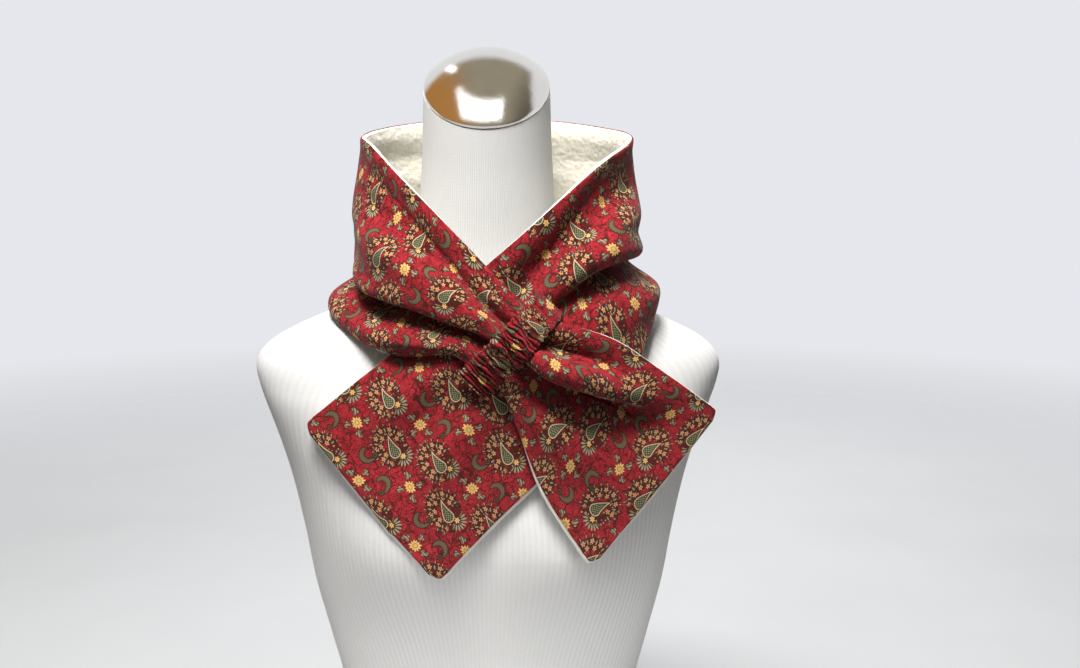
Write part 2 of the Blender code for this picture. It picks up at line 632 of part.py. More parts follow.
def make_cloth(collection):
    """The shell and the lining, each in three stretches: both ends and the collar's back."""
    band = Band()
    distances, (back_row, over_row) = row_distances(band)
    distance, height = band.grid(distances)
    reach = spline(band.knots, band.reach, distances)
    points = settle(band.folded(distance, height), reach, 0, form_tree(), REST_GAP)
    under_front = (points + grid_normals(points) * SHELL_THICKNESS)[: back_row + 1]
    points = settle(points, reach, over_row, sheet_tree(under_front), LAYER_GAP)
    tangents = unit(np.gradient(points, axis=0))
    front = points + grid_normals(points) * SHELL_THICKNESS
    face, back = lining_faces(points, reach)
    around = np.pad(tangents, ((1, 1), (1, 1), (0, 0)), mode="edge")
    ends = {
        "under_end": (0, back_row),
        "collar_back": (back_row, over_row),
        "over_end": (over_row, len(points) - 1),
    }
    for name, (first, last) in ends.items():
        shell = [centred(stretch(grid, first, last, tangents)) for grid in (front, points)]
        closed_wall(f"shell_{name}", *shell, PRINTED_COTTON, collection)
        first += first > 0
        last += 1 + (name == "over_end")
        lining = [centred(stretch(grid, first, last, around)) for grid in (face, back)]
        closed_wall(f"lining_{name}", *lining, BOA_FLEECE, collection)
    return [sheet_tree(under_front), sheet_tree(front[over_row:]), sheet_tree(face[over_row:])]


def main():
    clear_scene()
    collection = bpy.data.collections.new("neck_warmer_on_form")
    bpy.context.scene.collection.children.link(collection)
    trees = make_cloth(collection)
    make_loop(trees, collection)
    make_form(collection)
    make_cap(collection)


main()
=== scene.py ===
"""The looks of a neck warmer on a limbless dress form.

The neck warmer is one band of printed cotton backed with boa fleece. It goes round the neck, its ends
cross in front, and the upper end is drawn through a gathered elastic loop on the lower end. Lengths
are in metres, +Z is up and the form faces -Y.
"""

import math
from collections import namedtuple
from functools import cache

import bpy
import numpy as np
from bpy.props import FloatProperty, FloatVectorProperty, PointerProperty
from bpy.types import Operator, Panel, PropertyGroup
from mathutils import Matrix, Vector, noise
from mathutils.bvhtree import BVHTree


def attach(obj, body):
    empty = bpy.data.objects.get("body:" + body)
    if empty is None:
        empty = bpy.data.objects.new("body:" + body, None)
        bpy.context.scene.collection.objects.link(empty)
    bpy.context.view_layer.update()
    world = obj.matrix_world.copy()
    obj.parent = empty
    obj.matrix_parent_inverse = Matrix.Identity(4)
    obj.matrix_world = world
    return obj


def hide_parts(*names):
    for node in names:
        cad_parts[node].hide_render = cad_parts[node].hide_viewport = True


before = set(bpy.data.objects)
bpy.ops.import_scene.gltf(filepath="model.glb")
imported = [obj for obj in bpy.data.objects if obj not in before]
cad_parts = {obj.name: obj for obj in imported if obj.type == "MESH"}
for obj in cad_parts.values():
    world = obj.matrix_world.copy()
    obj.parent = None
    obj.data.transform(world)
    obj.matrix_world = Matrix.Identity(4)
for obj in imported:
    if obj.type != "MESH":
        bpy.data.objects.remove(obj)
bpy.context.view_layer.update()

bl_info = {
    "name": "Neck warmer on a dress form",
    "version": (1, 0, 0),
    "blender": (4, 5, 0),
    "location": "3D View > Sidebar > Neck warmer",
    "description": "Builds a printed, fleece-lined neck warmer on a dress form",
    "category": "Add Mesh",
}

MM = 0.001

# Cloth: the shell, the fleece behind it, and the band as it is cut
SHELL_THICKNESS = 0.0012
LINING_THICKNESS = 0.0040
SEAM_GAP = 0.0003
HEM_REACH = 0.0024
CORNER_RADIUS = 0.009
BAND_WIDTH = 0.155

# Places of the cloth's columns across the band, from its lower edge at 0 to its upper edge at 1
COLUMNS = (
    0, 0.06, 0.12, 0.17, 0.21, 0.24, 0.27, 0.30, 0.335, 0.38, 0.45, 0.54, 0.63, 0.71, 0.78, 0.85, 0.94, 1,
)
LOW_COLUMN = 0.27
HIGH_COLUMN = 0.78

# Resting: how far the band stays off the form and off itself, how far past an edge it is still lifted
# in full and at all, and when the lifting ends
REST_GAP = 0.0005
LAYER_GAP = 0.0007
EDGE_REACH = 0.003
REST_REACH = 0.015
SETTLE_ROUNDS = 8
SETTLED = 1e-5

# How many times the cloth's directions out are evened out
NORMAL_ROUNDS = 2

# The fine cloth's steps, and how its edges are rounded
EDGE_STEPS = (0.0005, 0.0012, 0.0022, 0.0035, 0.0050, 0.0070, 0.0090)
EDGE_ROUNDING = 0.0016
RIM_STEPS = 4

# The least share of its thickness that the shell and the fleece keep at their edges, and the most of
# the fleece's half thickness that its lumps take
SHELL_EDGE = 0.2
FLEECE_EDGE = 0.12
DEEPEST_DIP = 0.8

# How far the shell stands above the fleece's upper edge behind the neck, from section numbers
NAPE_RISE = ((7.0, 0.0), (8.5, 0.0006), (14.5, 0.0006), (16.0, 0.0))

# How much of its reach past the upper edge the fleece shows, from section numbers along the band
UPPER_REACH = (
    (0, 1.0), (3, 0.3), (7, 0.3), (8.5, 0.05), (14.5, 0.05), (16, 0.3), (18, 0.3), (20, 1.0), (21.2, 1.2),
    (21.8, 1.6), (22.4, 1.2), (24, 1.0),
)

# Elastic loop: its size, its gathers' steps, its cut and the cut's place on the print, and where the
# middle of each end is sewn down, seen from the front
LOOP_WIDTH = 0.031
LOOP_THICKNESS = 0.0018
LOOP_PUFF = 0.0048
GATHER_STEPS = (0.0, 0.04, 0.09, 0.15, 0.23, 0.33, 0.44, 0.56, 0.67, 0.77, 0.85, 0.91, 0.96)
LOOP_LANES = 36
LOOP_GAP = 0.0009
LOOP_CUT = (0.033, 0.150)
LOOP_PRINT_PLACE = (0.034, 0.003)
LOOP_LOW_END = Vector((-0.010, 0.0, 0.429))
LOOP_HIGH_END = Vector((0.050, 0.0, 0.492))

# How uneven the loop's gathers are, how much narrower it is between them, how far in two waves they
# wander along it, and a place in front of everything to look at the cloth from
LOOP_UNEVEN = 0.22
LOOP_PINCH = 0.12
LOOP_WANDER = (0.0011, 0.0006)
IN_FRONT = -0.5

# Zones of gathers along the loop, from its upper end at 0 to its lower end at 1
Gathers = namedtuple("Gathers", "start end count depth")
GATHERS = [
    Gathers(0.00, 0.25, 3, 0.35),
    Gathers(0.25, 0.51, 8, 1.00),
    Gathers(0.51, 0.73, 4, 0.75),
    Gathers(0.73, 1.00, 8, 1.00),
]

# Dress form, and the cap of its neck, whose rim stands out by its lip and draws in below by its tuck
COARSE_SIDES = 32
FORM_SIDES = 144
RING_STEPS = 5
FORM_INSET = 0.0004
NECK_SLANT = math.radians(32)
SLANT_START = 0.560
CAP_INSET = 0.0010
CAP_RIM = 0.003
CAP_DOME = 0.021
CAP_SIDES = 128
CAP_STEPS = 39
CAP_LIP = 0.0003
CAP_TUCK = 0.0004
BUST_OUT = 0.020
BUST_SIDE = 0.078
BUST_HEIGHT = 0.292
BUST_WIDTH = 0.058
BUST_TALL = 0.062
BASE_MIDDLE = (0.0, 0.012, 0.0)

# The form's and the cap's edges that turn by more than this are drawn sharp
SHARP_ANGLE = math.radians(50)

# Textures: the distance between the cotton's threads, the jersey's ribs round the form, and the height
# of a row of its loops
THREAD_SPACING = 0.00042
RIBS_ROUND = 176.0
KNIT_STEP = 0.0011

# The neck's axis lies this far behind the middle of the part
NECK_BACK = 0.0078

# Room: its colours, and how much of its light falls on matt surfaces
WARM_WALL = (0.50, 0.24, 0.07)
DIM_WALL = (0.36, 0.32, 0.24)
DARK_WALL = (0.14, 0.12, 0.09)
WHITE_WALL = (0.90, 0.91, 0.93)
WINDOW = (4.0, 4.0, 4.1)
BACKDROP = (0.79, 0.80, 0.84)
DIFFUSE_ROOM = 0.05

# Floor: its rings, how it fades out with distance, its colours, and the colour of the light that it
# throws back on the part
FLOOR_RINGS = (0.0, 0.4, 0.8, 1.2, 1.6, 2.0, 2.5, 3.0)
FLOOR_SIDES = 64
FLOOR_DROP = 0.0002
FLOOR_FADE = (-0.7, 1.75)
FLOOR_DARK = (0.42, 0.43, 0.44)
FLOOR_LIGHT = (0.46, 0.47, 0.48)
FLOOR_BOUNCE = (0.22, 0.22, 0.22)

# Lamps: where each stands and points, its width and height, its spread in degrees, its share of the
# key light's power, and its colour
Lamp = namedtuple("Lamp", "name place aim size spread share colour")
LAMPS = (
    Lamp("key", (-0.22, -0.72, 2.15), (0.0, 0.0, 0.45), (0.70, 0.50), 180, 1.0, (1.0, 0.98, 0.96)),
    Lamp("top", (0.05, 0.20, 2.20), (0.0, 0.0, 0.45), (1.20, 0.90), 180, 0.11, (0.97, 0.99, 1.0)),
    Lamp("fill", (0.05, -1.30, 0.05), (0.03, 0.0, 0.16), (0.60, 0.20), 20, 0.006, (1.0, 1.0, 1.0)),
    Lamp("back", (0.30, 1.50, 1.30), (0.0, 0.0, 0.30), (0.90, 0.70), 180, 0.30, (1.0, 1.0, 1.0)),
)

# Camera: where it looks, from where, and its lens
CAMERA_TARGET = Vector((0.043, NECK_BACK, 0.450))
CAMERA_ELEVATION = math.radians(10)
CAMERA_DISTANCE = 1.25
CAMERA_FOCAL_PIXELS = 1506
PHOTO_WIDTH = 1080
SENSOR_WIDTH = 36.0

# Sections across the band, from the hem of its under end, round the neck, to the hem of its over end.
# Each has its upper edge and its lower edge in mm from the neck's axis, how far its middle bellies
# out in mm, how far in mm the fleece shows past its lower edge and its upper edge, and the number of
# steps to the next section.
Section = namedtuple("Section", "place upper lower belly reach steps")
SECTIONS = [
    Section("under end hem", (-143, -80, 391), (-36, -122, 277), 6, (2.4, 0.6), 4),
    Section("under end", (-85, -84, 440), (12, -117, 327), 5, (2.4, 0.5), 4),
    Section("under loop", (-47, -84, 474), (49, -112, 362), 4, (2.4, 0.5), 4),
    Section("crossing", (-11, -83, 507), (83, -102, 397), 5, (2.4, 0.8), 4),
    Section("right front", (28, -77, 540), (109, -86, 425), 8, (2.4, 1.8), 4),
    Section("right cheek", (63, -63, 570), (126, -64, 452), 8, (2.4, 2.4), 4),
    Section("right turn", (93, -38, 594), (133, -37, 471), 4, (2.4, 2.4), 3),
    Section("right corner", (112, -12, 606), (130, -10, 478), 2, (2.4, 2.4), 3),
    Section("right side", (116, 14, 612), (127, 21, 478), 2, (2.4, 2.4), 2),
    Section("right behind", (98, 52, 616), (110, 60, 475), 3, (2.4, 2.4), 2),
    Section("right nape", (56, 78, 621), (62, 86, 472), 3, (2.4, 2.4), 2),
    Section("centre back", (4, 86, 623), (3, 94, 471), 3, (2.4, 2.4), 2),
    Section("left nape", (-50, 78, 621), (-57, 86, 472), 3, (2.4, 2.4), 2),
    Section("left behind", (-88, 52, 616), (-101, 60, 473), 3, (2.4, 2.4), 2),
    Section("left side", (-102, 16, 611), (-119, 19, 473), 2, (2.4, 2.4), 3),
    Section("left turn", (-93, -12, 606), (-121, -14, 469), 3, (2.4, 2.4), 3),
    Section("left cheek", (-70, -38, 585), (-110, -46, 457), 8, (2.0, 2.4), 4),
    Section("left front", (-41, -62, 559), (-79, -79, 445), 11, (0.8, 2.0), 4),
    Section("above loop", (-8, -84, 528), (-45, -97, 446), 12, (0.5, 1.2), 4),
    Section("loop side", (20, -99, 501), (-20, -104, 447), 11, (0.5, 0.8), 3),
    Section("in loop", (43, -105, 485), (-3, -109, 437), 10, (0.5, 0.6), 4),
    Section("below loop", (64, -107, 477), (14, -112, 425), 10, (0.5, 0.6), 4),
    Section("over end flare", (98, -106, 465), (26, -117, 397), 8, (0.8, 0.6), 4),
    Section("over end", (138, -102, 438), (44, -124, 353), 4, (2.4, 0.6), 4),
    Section("over end hem", (182, -93, 405), (83, -129, 292), 2, (2.4, 0.6), 0),
]

# Sections where the collar's back joins the under end and the over end
RIGHT_JOIN = 8
LEFT_JOIN = 14

# Folds that run along the band. Each is a path of points: a section number, a height across the band,
# a depth in mm, which is out of the cloth for a ridge and into it for a trough, and a width in mm of
# cloth. Lean is how far in mm the fold's bottom lies higher than its mouth, so that cloth hangs over it.
Fold = namedtuple("Fold", "name lean path")
LOW_CREASE = Fold("low crease", 12, (
    (0.0, 0.27, 0, 13), (3.1, 0.52, 0, 12), (4.0, 0.54, -11, 12), (5.0, 0.46, -16, 12),
    (6.0, 0.31, -18, 12), (7.0, 0.24, -15, 12), (8.0, 0.21, -11, 12), (9.5, 0.20, -5, 13),
    (11.0, 0.19, 0, 13), (13.0, 0.18, -7, 12), (14.0, 0.17, -15, 12), (15.0, 0.165, -22, 12),
    (16.0, 0.185, -23, 13), (17.0, 0.25, -21, 14), (18.0, 0.29, -17, 17), (19.0, 0.30, -12, 20),
    (20.0, 0.29, -11, 20), (21.0, 0.28, -14, 20), (22.0, 0.34, -22, 18), (22.5, 0.45, -22, 19),
    (23.0, 0.57, -16, 20), (23.7, 0.66, -3, 20), (24.0, 0.66, 0, 19)))
UPPER_TROUGH = Fold("upper trough", 2, (
    (0.0, 0.78, 0, 15), (2.6, 0.74, 0, 15), (3.0, 0.75, -6, 15), (4.0, 0.80, -11, 15), (5.0, 0.85, -11, 15),
    (6.0, 0.87, -8, 15), (7.0, 0.85, -5, 15), (8.0, 0.82, 0, 15), (11.0, 0.78, 0, 15), (14.0, 0.84, 0, 13),
    (15.0, 0.85, -5, 13), (16.0, 0.85, -8, 13), (17.0, 0.83, -10, 13), (18.0, 0.78, -10, 13),
    (19.0, 0.71, -11, 13), (20.0, 0.69, -10, 13), (21.0, 0.72, -11, 13), (22.0, 0.78, -8, 13),
    (23.0, 0.82, -2, 13), (24.0, 0.82, 0, 13)))
FOLDS = [
    LOW_CREASE,
    UPPER_TROUGH,
    Fold("low roll of the over end", 0, (
        (11.0, 0.07, 0, 11), (13.0, 0.07, 6, 11), (14.0, 0.07, 11, 11), (15.0, 0.07, 12, 11),
        (16.0, 0.08, 9, 11), (17.0, 0.11, 6, 12), (18.0, 0.13, 4, 12), (19.0, 0.12, 2, 13),
        (20.0, 0.11, 2, 13), (21.0, 0.10, 3, 13), (22.0, 0.13, 4, 13), (23.0, 0.28, 3, 15),
        (23.8, 0.3, 0, 15))),
    Fold("waist of the left collar", 0, (
        (12.0, 0.34, 0, 24), (14.0, 0.34, -6, 24), (15.0, 0.36, -8, 24), (16.0, 0.40, -3, 24),
        (17.0, 0.48, 0, 24))),
    Fold("tube of the over end", 0, (
        (15.2, 0.60, 0, 20), (16.0, 0.54, 4, 20), (17.0, 0.54, 5, 20), (18.0, 0.54, 3, 20),
        (19.0, 0.50, 2, 20), (20.0, 0.48, 2, 20), (21.0, 0.48, 3, 20), (22.0, 0.58, 5, 20),
        (23.0, 0.86, 3, 20), (23.8, 0.90, 0, 20))),
    Fold("edge tucked under the left lobe", 0, (
        (15.3, 0.0, 0, 12), (16.2, 0.0, -5, 12), (17.0, 0.0, -9, 13), (18.0, 0.01, -8, 13),
        (19.0, 0.02, -4, 13), (20.0, 0.02, 0, 13))),
    Fold("hollow above the right crease", 0, (
        (20.3, 0.37, 0, 15), (21.0, 0.37, -4, 15), (22.0, 0.43, -8, 16), (22.5, 0.55, -7, 17),
        (23.0, 0.68, -4, 18), (23.8, 0.74, 0, 18))),
    Fold("low roll of the under end", 0, (
        (4.0, 0.26, 0, 15), (5.0, 0.23, 4, 15), (6.0, 0.12, 8, 14), (7.0, 0.09, 11, 13), (8.0, 0.08, 11, 13),
        (9.0, 0.07, 7, 13), (11.0, 0.07, 0, 13))),
    Fold("waist of the right collar", 0, (
        (5.0, 0.55, 0, 24), (6.0, 0.44, -3, 24), (7.0, 0.38, -4, 24), (8.0, 0.36, -3, 24),
        (10.0, 0.36, 0, 24))),
    Fold("middle ridge of the under end", 0, (
        (3.4, 0.64, 0, 18), (4.0, 0.66, 3, 18), (5.0, 0.63, 4, 18), (6.0, 0.58, 4, 18), (7.0, 0.56, 3, 18),
        (8.0, 0.56, 0, 18))),
    Fold("place where the over end presses", 0, (
        (0.7, 0.98, 0, 20), (1.4, 0.98, -8, 20), (2.5, 0.98, -9, 20), (3.4, 0.98, 0, 20))),
    Fold("soft wave of the under end", 0, (
        (0.4, 0.30, 0, 20), (1.0, 0.34, 2, 20), (1.8, 0.40, 3, 20), (2.6, 0.46, 0, 20))),
]

# Small creases that only the fine cloth has, in the same terms
CREASES = [
    Fold("rolled top of the collar", 0, (
        (5.0, 1.0, 0, 8), (7.0, 1.0, 1.5, 8), (9.0, 1.0, 3.0, 8), (13.0, 1.0, 3.0, 8), (14.5, 1.0, 1.0, 8),
        (16.0, 1.0, 0, 8))),
    Fold("right collar valley", 6, (
        (3.3, 0.80, 0, 11), (4.2, 0.78, -6.5, 12), (5.2, 0.77, -9.0, 13), (6.3, 0.77, -8.0, 13),
        (7.6, 0.76, 0, 12))),
    Fold("roll over the right crease", -3, (
        (3.8, 0.66, 0, 9), (4.6, 0.64, 3.5, 10), (5.4, 0.54, 6.0, 10), (6.2, 0.44, 6.0, 10),
        (7.0, 0.38, 3.0, 10), (7.8, 0.34, 0, 10))),
    Fold("right collar ridge", 0, (
        (3.6, 0.62, 0, 8), (4.6, 0.63, 2.5, 9), (5.8, 0.62, 3.0, 9), (7.0, 0.60, 0, 9))),
    Fold("left collar valley", 5, (
        (14.4, 0.70, 0, 11), (15.4, 0.72, -6.5, 12), (16.4, 0.74, -7.5, 12), (17.4, 0.75, -5.5, 11),
        (18.4, 0.74, 0, 10))),
    Fold("left collar ridge", 0, (
        (15.2, 0.59, 0, 8), (16.0, 0.59, 2.5, 9), (17.0, 0.59, 3.0, 9), (18.2, 0.58, 0, 8))),
    Fold("crown right of the loop", -8, (
        (20.4, 0.52, 0, 11), (21.0, 0.53, 8.5, 11), (21.7, 0.58, 13.0, 11), (22.3, 0.68, 11.0, 11),
        (22.9, 0.79, 5.5, 12), (23.4, 0.87, 0, 13))),
    Fold("undercut below the crown", 0, (
        (20.5, 0.35, 0, 8), (21.1, 0.37, -3.5, 9), (21.9, 0.44, -4.5, 9), (22.5, 0.56, -4.5, 9),
        (23.0, 0.68, -2.5, 10), (23.7, 0.78, 0, 10))),
    Fold("lip over the left slot", -2, (
        (15.0, 0.30, 0, 8), (16.0, 0.33, 3.0, 8), (17.2, 0.41, 3.5, 8), (18.4, 0.42, 3.0, 8),
        (19.2, 0.42, 0, 8))),
    Fold("pull into the loop, high", 0, (
        (17.4, 0.93, 0, 5), (18.2, 0.90, -1.2, 5), (19.2, 0.86, -1.6, 5), (20.0, 0.84, 0, 5))),
    Fold("pull into the loop, middle", 0, (
        (17.0, 0.66, 0, 6), (18.2, 0.63, -1.4, 5), (19.3, 0.60, -1.8, 5), (20.0, 0.58, 0, 5))),
    Fold("pull into the loop, low", 0, (
        (17.6, 0.40, 0, 5), (18.4, 0.42, 1.2, 5), (19.3, 0.43, 1.5, 5), (20.0, 0.44, 0, 5))),
    Fold("pull out of the loop, high", 0, (
        (20.6, 0.60, 0, 5), (21.2, 0.62, -1.6, 5), (21.9, 0.67, -1.2, 6), (22.6, 0.72, 0, 7))),
    Fold("pull out of the loop, middle", 0, (
        (20.6, 0.20, 0, 5), (21.2, 0.19, -1.4, 5), (22.0, 0.20, -1.2, 6), (22.8, 0.24, 0, 7))),
    Fold("left cheek crease", 0, (
        (14.6, 0.60, 0, 7), (15.4, 0.62, -1.3, 7), (16.3, 0.66, -1.6, 6), (17.2, 0.70, 0, 6))),
    Fold("left side crease", 0, (
        (13.6, 0.47, 0, 6), (14.4, 0.50, -1.1, 6), (15.2, 0.50, -1.2, 6), (16.0, 0.47, 0, 6))),
    Fold("right cheek crease", 0, (
        (4.2, 0.69, 0, 6), (5.0, 0.73, -1.4, 6), (6.0, 0.75, -1.6, 7), (7.0, 0.72, 0, 7))),
    Fold("right side crease", 0, (
        (5.4, 0.50, 0, 6), (6.2, 0.46, -1.2, 6), (7.2, 0.47, -1.3, 6), (8.2, 0.49, 0, 6))),
    Fold("under end wave", 0, (
        (0.0, 0.55, 0, 14), (0.7, 0.60, -1.4, 14), (1.5, 0.66, -1.6, 12), (2.2, 0.72, 0, 10))),
    Fold("under end low wave", 0, (
        (0.0, 0.10, 1.0, 12), (0.9, 0.12, 1.2, 12), (1.9, 0.15, 0, 12), (2.6, 0.17, 0, 12))),
    Fold("over end wave", 0, (
        (22.8, 0.12, 0, 12), (23.2, 0.15, -1.2, 12), (23.7, 0.19, -1.5, 13), (24.0, 0.20, -1.0, 13))),
    Fold("nape crease, low", 0, (
        (8.6, 0.40, 0, 8), (10.0, 0.37, -1.6, 8), (11.6, 0.36, -1.2, 8), (13.2, 0.40, 0, 8))),
    Fold("nape crease, high", 0, (
        (9.4, 0.66, 0, 9), (10.6, 0.69, -1.2, 9), (12.2, 0.68, -1.4, 9), (13.4, 0.64, 0, 9))),
]

# Rings round the dress form: height, half width, front and back in mm from the neck's axis, and how
# square the ring is (2 for an ellipse).
Ring = namedtuple("Ring", "height half_width front back square")
RINGS = [
    Ring(0, 158, -88, 112, 2.2),
    Ring(4, 160, -90, 114, 2.2),
    Ring(40, 152, -86, 112, 2.2),
    Ring(80, 131, -77, 100, 2.2),
    Ring(112, 121, -73, 90, 2.2),
    Ring(150, 124, -78, 88, 2.2),
    Ring(200, 136, -90, 92, 2.2),
    Ring(245, 147, -100, 97, 2.2),
    Ring(292, 155, -107, 101, 2.2),
    Ring(335, 164, -105, 103, 2.3),
    Ring(370, 174, -98, 105, 2.5),
    Ring(398, 184, -89, 105, 2.6),
    Ring(415, 190, -82, 104, 2.5),
    Ring(428, 192, -76, 102, 2.4),
    Ring(438, 188, -72, 100, 2.3),
    Ring(447, 178, -69, 98, 2.2),
    Ring(456, 162, -67, 95, 2.1),
    Ring(465, 142, -65, 91, 2.0),
    Ring(474, 120, -63, 86, 2.0),
    Ring(484, 98, -61, 79, 2.0),
    Ring(495, 80, -59, 71, 2.0),
    Ring(508, 67, -57, 64, 2.0),
    Ring(525, 59.5, -55, 57, 2.0),
    Ring(550, 56.5, -53, 54, 2.0),
    Ring(590, 53.5, -51, 52, 2.0),
    Ring(651, 51.5, -50, 50, 2.0),
]

# The print, in mm of cloth: x runs along the band and y up to its upper edge. Its repeat is square, and
# each motif has two places in it, with a turn in degrees at each, and a side of -1 where it is mirrored.
REPEAT = 64.0
Place = namedtuple("Place", "x y turn side")
PAISLEYS = (Place(0, 0, 6, 1), Place(-20.5, -31, -6, 1))
FLOWERS = (Place(35, 1, 0, 1), Place(7.5, -33, 35, 1))
CURLED_LEAVES = (Place(19, 17, -90, 1), Place(27, -22, 90, -1))
INKS = ("Ground", "Ground shade", "Outline", "Green", "Olive", "Petal", "Cream", "Peach", "Yellow")


def colour_property(name, description, default):
    return FloatVectorProperty(
        name=name, description=description, subtype="COLOR", default=default, min=0.0, max=1.0
    )


class NeckWarmerSettings(PropertyGroup):
    row_step: FloatProperty(
        name="Cloth step along", description="Distance between the cloth's rows of points", default=0.0024,
        min=0.001, max=0.01, unit="LENGTH",
    )
    column_step: FloatProperty(
        name="Cloth step across", description="Distance between the cloth's columns of points",
        default=0.0019, min=0.001, max=0.01, unit="LENGTH",
    )
    tuft_size: FloatProperty(
        name="Tuft size", description="Width of one tuft of the fleece", default=0.0056, min=0.001,
        max=0.01, unit="LENGTH",
    )
    pile_depth: FloatProperty(
        name="Pile depth", description="How deep the fleece's lumps are", default=0.0008, min=0.0,
        max=0.003, unit="LENGTH",
    )
    ground: colour_property("Ground", "Red ground of the print", (0.400, 0.0270, 0.0350))
    ground_shade: colour_property("Ground shade", "Darker red in the ground", (0.190, 0.0090, 0.0160))
    outline: colour_property("Outline", "Dark outlines and vines of the print", (0.032, 0.0100, 0.0070))
    green: colour_property("Green", "Green inside the paisleys", (0.062, 0.088, 0.034))
    olive: colour_property("Olive", "Dull olive of the curled leaves", (0.132, 0.102, 0.062))
    petal: colour_property("Petal", "Pale khaki of the petals, leaves and buds", (0.330, 0.295, 0.190))
    cream: colour_property("Cream", "Cream border of the paisleys", (0.690, 0.540, 0.350))
    peach: colour_property("Peach", "Peach of the small florets", (0.560, 0.310, 0.140))
    yellow: colour_property("Yellow", "Yellow of the large flowers", (0.700, 0.440, 0.135))
    fleece: colour_property("Fleece", "Cream of the fleece", (0.835, 0.810, 0.720))
    jersey: colour_property("Jersey", "White of the form's jersey cover", (0.660, 0.660, 0.650))
    chrome: colour_property("Chrome", "Tint of the polished cap", (0.800, 0.780, 0.750))
    key_power: FloatProperty(
        name="Key light", description="Power of the soft light in front", default=73.0, min=0.0, unit="POWER"
    )


def spline(knots, values, at):
    """A smooth curve through the values, which keeps its tangents local."""
    knots = np.asarray(knots, float)
    values = np.asarray(values, float)
    slopes = np.gradient(values, knots, axis=0)
    at = np.clip(at, knots[0], knots[-1])
    i = np.clip(np.searchsorted(knots, at, side="right") - 1, 0, len(knots) - 2)
    span = knots[i + 1] - knots[i]
    x = (at - knots[i]) / span
    shape = (-1,) + (1,) * (values.ndim - 1)
    x, span = x.reshape(shape), span.reshape(shape)
    return (
        values[i] * (2 * x**3 - 3 * x**2 + 1)
        + values[i + 1] * (3 * x**2 - 2 * x**3)
        + slopes[i] * span * (x**3 - 2 * x**2 + x)
        + slopes[i + 1] * span * (x**3 - x**2)
    )


def unit(vectors):
    return vectors / np.maximum(np.linalg.norm(vectors, axis=-1, keepdims=True), 1e-12)


def smooth_step(x):
    x = np.clip(x, 0.0, 1.0)
    return x * x * (3 - 2 * x)


def centred(points):
    """From the neck's axis to the part's own origin."""
    return points + np.array([0.0, NECK_BACK, 0.0])


class Band:
    """The cloth band's middle surface, where the printed shell meets the fleece."""

    def __init__(self):
        self.upper = np.array([s.upper for s in SECTIONS], float) * MM
        self.lower = np.array([s.lower for s in SECTIONS], float) * MM
        self.belly = np.array([s.belly for s in SECTIONS], float) * MM
        self.reach = np.array([s.reach for s in SECTIONS], float) * MM
        middle = (self.upper + self.lower) / 2
        steps = np.linalg.norm(np.diff(middle, axis=0), axis=1)
        self.knots = np.concatenate([[0.0], np.cumsum(steps)])
        self.length = self.knots[-1]
        self.width = float(np.linalg.norm(self.upper[0] - self.lower[0]))

    def along(self, number):
        """The distance along the band of a section number, which may lie between two sections."""
        return np.interp(number, np.arange(len(SECTIONS)), self.knots)

    def plain(self, distance, height):
        """The band without its folds: points for arrays of distances and heights of equal shape."""
        shape = distance.shape
        s, t = distance.ravel(), height.ravel()
        upper = spline(self.knots, self.upper, s)
        lower = spline(self.knots, self.lower, s)
        belly = spline(self.knots, self.belly, s)
        nudge = 0.002
        ahead = spline(self.knots, (self.upper + self.lower) / 2, s + nudge)
        behind = spline(self.knots, (self.upper + self.lower) / 2, s - nudge)
        out = unit(np.cross(unit(ahead - behind), unit(upper - lower)))
        points = lower + (upper - lower) * t[:, None]
        points += out * (belly * 4 * t * (1 - t))[:, None]
        return points.reshape(*shape, 3)

    def fold_at(self, fold, distance):
        """A fold's height, depth in mm and width in mm of cloth at each distance along the band."""
        path = np.array(fold.path, float)
        return spline(self.along(path[:, 0]), path[:, 1:], distance.ravel()).T.reshape(3, *distance.shape)

    def grid(self, distances):
        """Distances and heights of a grid whose columns follow the low crease and the upper trough."""
        low = self.fold_at(LOW_CREASE, distances)[0]
        high = self.fold_at(UPPER_TROUGH, distances)[0]
        marks = (0, LOW_COLUMN, HIGH_COLUMN, 1)
        height = np.array([np.interp(COLUMNS, marks, (0, a, b, 1)) for a, b in zip(low, high, strict=True)])
        inset = self.corner_inset(distances)[:, None]
        return np.repeat(distances[:, None], len(COLUMNS), axis=1), inset + (1 - 2 * inset) * height

    def corner_inset(self, distances):
        """How far across the band the rounded corners of its two hems draw each row in."""
        past = np.maximum(CORNER_RADIUS - np.minimum(distances, self.length - distances), 0)
        return (CORNER_RADIUS - np.sqrt(np.maximum(CORNER_RADIUS**2 - past**2, 0))) / self.width

    def folded(self, points, distance, height, folds):
        """The cloth's points with these folds pressed into it."""
        out = grid_normals(points)
        across = points[:, -1:] - points[:, :1]
        up = unit(across)
        scale = np.linalg.norm(across, axis=2) / self.width
        points = points.copy()
        for fold in folds:
            place, depth, width = self.fold_at(fold, distance)
            bell = np.exp(-(((height - place) * self.width / (width * MM)) ** 2))
            deepest = max(abs(row[2]) for row in fold.path)
            lean = fold.lean * MM * np.abs(depth) / deepest * scale
            points += out * (depth * MM * bell)[..., None] + up * (lean * bell)[..., None]
        return points


def grid_normals(points):
    """Directions out of the cloth, evened out a little so that walls don't cross in a tight crease."""
    along = np.gradient(points, axis=0)
    across = np.gradient(points, axis=1)
    normals = unit(np.cross(along, across))
    for _ in range(NORMAL_ROUNDS):
        padded = np.pad(normals, ((0, 0), (1, 1), (0, 0)), mode="edge")
        normals = unit(padded[:, :-2] + 2 * normals + padded[:, 2:])
    return normals


